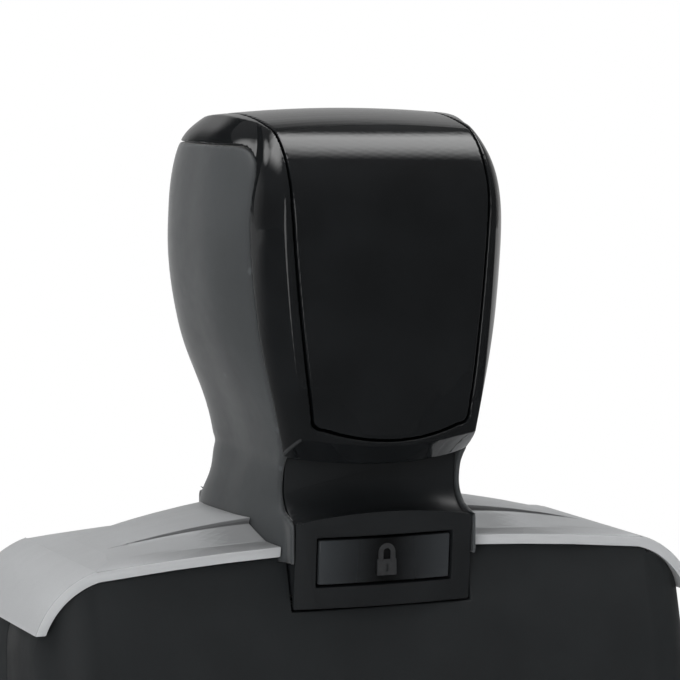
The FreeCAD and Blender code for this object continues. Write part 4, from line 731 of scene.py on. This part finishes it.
class STAMP_OT_foot(Operator):
    """Round the foot frame and shape its rubber feet"""
    bl_idname = "stamp.foot"
    bl_label = "Foot"

    def execute(self, context):
        shell = crisp(node_copy("foot_frame", "foot_frame_shell"), 0.3)
        dressed(shell, finish("foot"), "base", "matte_black", "foot_frame")
        x, y = FEET_APART
        first = turned("rubber_foot_1", FOOT_PROFILE, (-x / 2, -y / 2, 0), 40)
        feet = [first] + [moved_copy(first, f"rubber_foot_{number}", Vector(offset) * MM)
                          for number, offset in ((2, (x, 0, 0)), (3, (0, y, 0)), (4, (x, y, 0)))]
        for foot in feet:
            dressed(foot, finish("sole"), "base", "foot_rubber")
        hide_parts("non_slip_feet")
        return {"FINISHED"}


# Mechanism

class STAMP_OT_mechanism(Operator):
    """Round the edges of the steel parts, the carrier and the tray, and dress the rest"""
    bl_idname = "stamp.mechanism"
    bl_label = "Mechanism"

    def execute(self, context):
        width = context.scene.stamp_sizes.frame_round
        parts = (("side_plate_left", "steel", "steel", "base"),
                 ("side_plate_right", "steel", "steel", "base"),
                 ("pad_bridge", "steel", "steel", "base"),
                 ("yoke", "steel", "steel", "handle"),
                 ("date_frame", "steel", "steel", "carrier"),
                 ("type_carrier", "carrier", "carrier_plastic", "carrier"),
                 ("ink_tray", "tray", "tray_plastic", "cartridge"))
        for node, look, slot, body in parts:
            piece = crisp(node_copy(node, node + "_edged"), width)
            dressed(piece, finish(look), body, slot, node)
        kept = {
            "spring_post": "ground", "axle_stub_left": "ground", "axle_stub_right": "ground",
            "guide_pin_left": "ground", "guide_pin_right": "ground", "wheel_axle": "ground",
            "band_nose": "ground", "handle_core": "block", "index_card": "card",
            "text_plate": "rubber", "bridge_screws": "screw", "foot_screws": "screw",
            "handle_screws": "screw", "housing_screws": "screw", "ink_pad": "felt",
        }
        for number in range(1, 5):
            kept[f"date_wheel_{number}"] = "dial"
            kept[f"date_band_{number}"] = "rubber"
        for node, look in kept.items():
            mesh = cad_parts[node].data
            mesh.materials.clear()
            mesh.materials.append(finish(look))
        return {"FINISHED"}


class STAMP_OT_springs(Operator):
    """Wind the main spring and the two button springs"""
    bl_idname = "stamp.springs"
    bl_label = "Springs"

    def wound(self, name, start, end, radius, wire, turns, dead=1.6):
        """A compression spring from one point to another, with closed end turns."""
        start, end = Vector(start), Vector(end)
        along = (end - start).normalized()
        side = Vector((1, 0, 0))
        other = along.cross(side)
        length = (end - start).length - wire
        total = turns + 2 * dead
        per_turn = 24
        count = int(total * per_turn)
        closed = wire * 1.02
        free = (length - 2 * dead * closed) / turns
        points = []
        for step in range(count + 1):
            turn = step / per_turn
            rise = min(turn, dead) * closed
            rise += min(max(turn - dead, 0), turns) * free
            rise += max(turn - dead - turns, 0) * closed
            angle = turn * math.tau
            spoke = side * math.cos(angle) + other * math.sin(angle)
            points.append(start + along * (rise + wire / 2) + spoke * (radius - wire / 2))
        curve = bpy.data.curves.new(name, "CURVE")
        curve.dimensions = "3D"
        line = curve.splines.new("POLY")
        line.points.add(len(points) - 1)
        for point, place in zip(line.points, points):
            point.co = (*place, 1)
        curve.bevel_depth = wire / 2
        curve.bevel_resolution = 3
        curve.use_fill_caps = True
        piece = bpy.data.objects.new(name, curve)
        bpy.context.collection.objects.link(piece)
        pick(piece)
        bpy.ops.object.convert(target="MESH")
        return smooth(outward(named(name)), ROUNDED)

    def execute(self, context):
        sizes = context.scene.stamp_sizes
        low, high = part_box("main_spring")
        spring = self.wound("main_coil", (0, 0, low.z), (0, 0, high.z), high.x,
                            sizes.spring_wire, sizes.spring_turns)
        dressed(spring, finish("wire"), "base", "spring_steel", "main_spring")
        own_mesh(spring)
        for side, sign in (("front", -1), ("rear", 1)):
            low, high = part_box(f"button_spring_{side}")
            near, far = sorted((low.y, high.y), key=abs)
            middle = (low.z + high.z) / 2
            coil = self.wound(f"button_coil_{side}", (0, near, middle), (0, far, middle),
                              high.x, sizes.coil_wire, 4, 1.2)
            dressed(coil, finish("wire"), "handle", "spring_steel", f"button_spring_{side}")
            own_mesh(coil)
        return {"FINISHED"}


# Stage

# The paper: its size, its middle's distance behind the stamp, its height at the rear and the
# size of its bend, in metres
PAPER_SIZE, PAPER_MIDDLE, PAPER_HEIGHT, PAPER_BEND = (4.0, 2.4), 0.5, 1.6, 0.6
# How light the paper is, and how light the glossy parts see it
PAPER_TONE, MIRRORED_PAPER = 0.9, 0.04
# The share of the white that the glossy parts see in the paper behind the stamp, in the paper
# low on the right and in the sky behind, and how bright they see the ceiling
WHITE_BEHIND, WHITE_RIGHT, WHITE_SKY, MIRRORED_CEILING = 0.36, 0.5, 0.3, 0.1
# Soft lights that the glossy parts mirror: direction, angles of core and rim, and level
STUDIO_GLOWS = (((-0.24, 0.94, 0.24), 3, 13, 7.0), ((-0.67, 0.45, 0.6), 3, 12, 2.0),
                ((-0.62, -0.78, -0.02), 8, 22, 1.4))
# Lamps: name, place and size in metres, and power
LAMPS = (("left softbox", (-0.95, -0.2, 0.45), (0.4, 0.8), 0.6),
         ("key softbox", (-0.6, -0.8, 0.35), (0.5, 0.5), 4),
         ("right softbox", (0.95, -0.15, 0.4), (0.3, 0.8), 1.0),
         ("right rear strip", (0.75, 0.6, 0.4), (0.25, 0.8), 1.5),
         ("left rear strip", (-0.6, 0.8, 0.45), (0.2, 0.8), 2))
LAMP_AIM = (0, 0, 0.13)
SENSOR = 36  # Width of the camera's sensor, in millimetres
# How far the photograph's middle is right of the stamp's and below its top, in millimetres
PHOTO_MIDDLE = (1.04, 37.0)


class STAMP_OT_stage(Operator):
    """Set up the floor, backdrop, lamps and camera"""
    bl_idname = "stamp.stage"
    bl_label = "Studio"

    def paper(self):
        """White paper that keeps shadows near the stamp and is plain white further out. The
        glossy parts see it darker, as if the table in front of the stamp were black."""
        material = bpy.data.materials.new("white paper")
        material.use_nodes = True
        tree = material.node_tree
        tree.nodes.remove(tree.nodes["Principled BSDF"])
        place = tree.nodes.new("ShaderNodeTexCoord").outputs["Object"]
        span = tree.nodes.new("ShaderNodeVectorMath")
        span.operation = "LENGTH"
        tree.links.new(place, span.inputs[0])
        split = add_node(tree, "SeparateXYZ", Vector=place)
        across, ahead, height = (split.outputs[axis] for axis in "XYZ")
        middle = sum_of(tree, "MAXIMUM", ramp(tree, across, -0.7, -0.1),
                        ramp(tree, height, 0.3, 0.05))
        back = sum_of(tree, "MULTIPLY", ramp(tree, ahead, 0.15, 0.7), middle,
                      ramp(tree, height, 1.5, 0.9), WHITE_BEHIND)
        right = sum_of(tree, "MULTIPLY", ramp(tree, across, 0.4, 1.0),
                       ramp(tree, ahead, -0.4, 0.3), ramp(tree, height, 0.2, 0.05),
                       WHITE_RIGHT)
        pale = sum_of(tree, "MULTIPLY", ramp(tree, span.outputs["Value"], 0.1, 0.5),
                      shown(tree, sum_of(tree, "MAXIMUM", back, right)))
        tone = ranged(tree, path(tree, "Glossy"), 0, 1, PAPER_TONE, MIRRORED_PAPER)
        matte = add_node(tree, "BsdfDiffuse", Color=tone)
        white = add_node(tree, "Emission", Color=(1, 1, 1, 1))
        mix = add_node(tree, "MixShader", Fac=pale)
        tree.links.new(matte.outputs[0], mix.inputs[1])
        tree.links.new(white.outputs[0], mix.inputs[2])
        tree.links.new(mix.outputs[0], tree.nodes["Material Output"].inputs["Surface"])
        return material

    def glow(self, tree, way, towards, core, rim):
        """A soft round light in one direction of the sky, with its angles in degrees."""
        item = tree.nodes.new("ShaderNodeVectorMath")
        item.operation = "DOT_PRODUCT"
        tree.links.new(way, item.inputs[0])
        item.inputs[1].default_value = Vector(towards).normalized()
        return ramp(tree, item.outputs["Value"], math.cos(math.radians(rim)),
                    math.cos(math.radians(core)))

    def sky(self, studio):
        """White where the camera sees it, and a dim studio for the rest: a long softbox over
        the stamp, soft lights to the left, dark in front and pale behind."""
        world = bpy.data.worlds.new("studio")
        bpy.context.scene.world = world
        world.use_nodes = True
        tree = world.node_tree
        way = tree.nodes.new("ShaderNodeTexCoord").outputs["Generated"]
        split = add_node(tree, "SeparateXYZ", Vector=way)
        across, ahead, rise = (split.outputs[axis] for axis in "XYZ")
        aside = sum_of(tree, "ABSOLUTE", across, 0)
        lean = sum_of(tree, "DIVIDE", ahead, sum_of(tree, "MAXIMUM", rise, 0.05))
        softbox = sum_of(tree, "MULTIPLY", ramp(tree, lean, -0.42, 0.05),
                         ramp(tree, lean, 0.6, 0.25), ramp(tree, rise, 0.2, 0.45),
                         ramp(tree, aside, 0.85, 0.6), studio.softbox)
        overhead = ranged(tree, path(tree, "Glossy"), 0, 1, 1.0, MIRRORED_CEILING)
        dim = sum_of(tree, "MULTIPLY", ramp(tree, rise, -0.05, 1.0), overhead, studio.ceiling)
        glows = [sum_of(tree, "MULTIPLY", self.glow(tree, way, *angles), level)
                 for *angles, level in STUDIO_GLOWS]
        level = sum_of(tree, "ADD", softbox, dim, studio.horizon, *glows)
        back = sum_of(tree, "MULTIPLY", ramp(tree, ahead, 0.2, 0.7), ramp(tree, rise, 0.4, 0.15),
                      WHITE_SKY)
        colour = mixed(tree, shown(tree, back), level, (1, 1, 1))
        tree.links.new(colour, tree.nodes["Background"].inputs["Color"])

    def lamp(self, studio, name, place, size, power):
        """An area lamp that looks at the stamp, and that the glossy parts don't mirror."""
        nothing_selected()
        bpy.ops.object.light_add(type="AREA", location=place)
        lamp = named(name)
        lamp.data.shape = "RECTANGLE"
        lamp.data.size, lamp.data.size_y = size
        lamp.data.energy = power * studio.lamp_power
        lamp.visible_glossy = False
        ahead = Vector(LAMP_AIM) - Vector(place)
        lamp.rotation_euler = ahead.to_track_quat("-Z", "Y").to_euler()

    def camera(self, studio):
        """A long lens from the front left, framed as the photograph is."""
        ahead = Vector((math.sin(studio.azimuth) * math.cos(studio.elevation),
                        math.cos(studio.azimuth) * math.cos(studio.elevation),
                        -math.sin(studio.elevation)))
        right, down = PHOTO_MIDDLE
        aim = Vector((right * MM, 0, STAMP_TOP - down * MM))
        distance = studio.lens / SENSOR * studio.view_width
        nothing_selected()
        bpy.ops.object.camera_add(location=aim - ahead * distance)
        camera = bpy.context.object
        camera.name = "photo camera"
        camera.data.lens = studio.lens
        camera.data.sensor_width = SENSOR
        camera.rotation_euler = ahead.to_track_quat("-Z", "Y").to_euler()
        bpy.context.scene.camera = camera

    def execute(self, context):
        studio = context.scene.stamp_studio
        nothing_selected()
        bpy.ops.mesh.primitive_plane_add(size=1, location=(0, PAPER_MIDDLE, 0))
        floor = named("paper floor")
        floor.scale = (*PAPER_SIZE, 1)
        place_in_mesh(floor)
        rear = PAPER_MIDDLE + PAPER_SIZE[1] / 2 - 0.1
        edit(floor, "EDGE", "DESELECT")
        choose_edges(floor, lambda place: place.y > rear)
        bpy.ops.mesh.extrude_region_move(TRANSFORM_OT_translate={"value": (0, 0, PAPER_HEIGHT)})
        choose_edges(floor, lambda place: place.y > rear and place.z < 0.01)
        bpy.ops.mesh.bevel(offset=PAPER_BEND, segments=12, affect="EDGES")
        nothing_selected()
        smooth(floor, ROUNDED)
        floor.data.materials.append(self.paper())
        self.sky(studio)
        for lamp in LAMPS:
            self.lamp(studio, *lamp)
        self.camera(studio)
        context.scene.view_settings.view_transform = "Standard"
        return {"FINISHED"}


class STAMP_PT_dressing(Panel):
    """Lists the steps that dress the stamp"""
    bl_idname = "STAMP_PT_dressing"
    bl_label = "Date Stamp"
    bl_space_type = "VIEW_3D"
    bl_region_type = "UI"
    bl_category = "Stamp"

    def draw(self, context):
        layout = self.layout
        for step in STEPS:
            layout.operator(step.bl_idname)
        for group in (context.scene.stamp_colours, context.scene.stamp_sizes,
                      context.scene.stamp_studio):
            column = layout.column(align=True)
            for name in group.bl_rna.properties.keys():
                if name not in {"rna_type", "name"}:
                    column.prop(group, name)


STEPS = (STAMP_OT_handle, STAMP_OT_lock, STAMP_OT_shoulders, STAMP_OT_housing,
         STAMP_OT_foot, STAMP_OT_mechanism, STAMP_OT_springs, STAMP_OT_stage)
CLASSES = (StampColours, StampSizes, StampStudio) + STEPS + (STAMP_PT_dressing,)


def register():
    for item in CLASSES:
        bpy.utils.register_class(item)
    bpy.types.Scene.stamp_colours = PointerProperty(type=StampColours)
    bpy.types.Scene.stamp_sizes = PointerProperty(type=StampSizes)
    bpy.types.Scene.stamp_studio = PointerProperty(type=StampStudio)


def unregister():
    del bpy.types.Scene.stamp_studio
    del bpy.types.Scene.stamp_sizes
    del bpy.types.Scene.stamp_colours
    for item in reversed(CLASSES):
        bpy.utils.unregister_class(item)


def main():
    register()
    for step in STEPS:
        group, name = step.bl_idname.split(".")
        getattr(getattr(bpy.ops, group), name)()


if __name__ == "__main__":
    main()
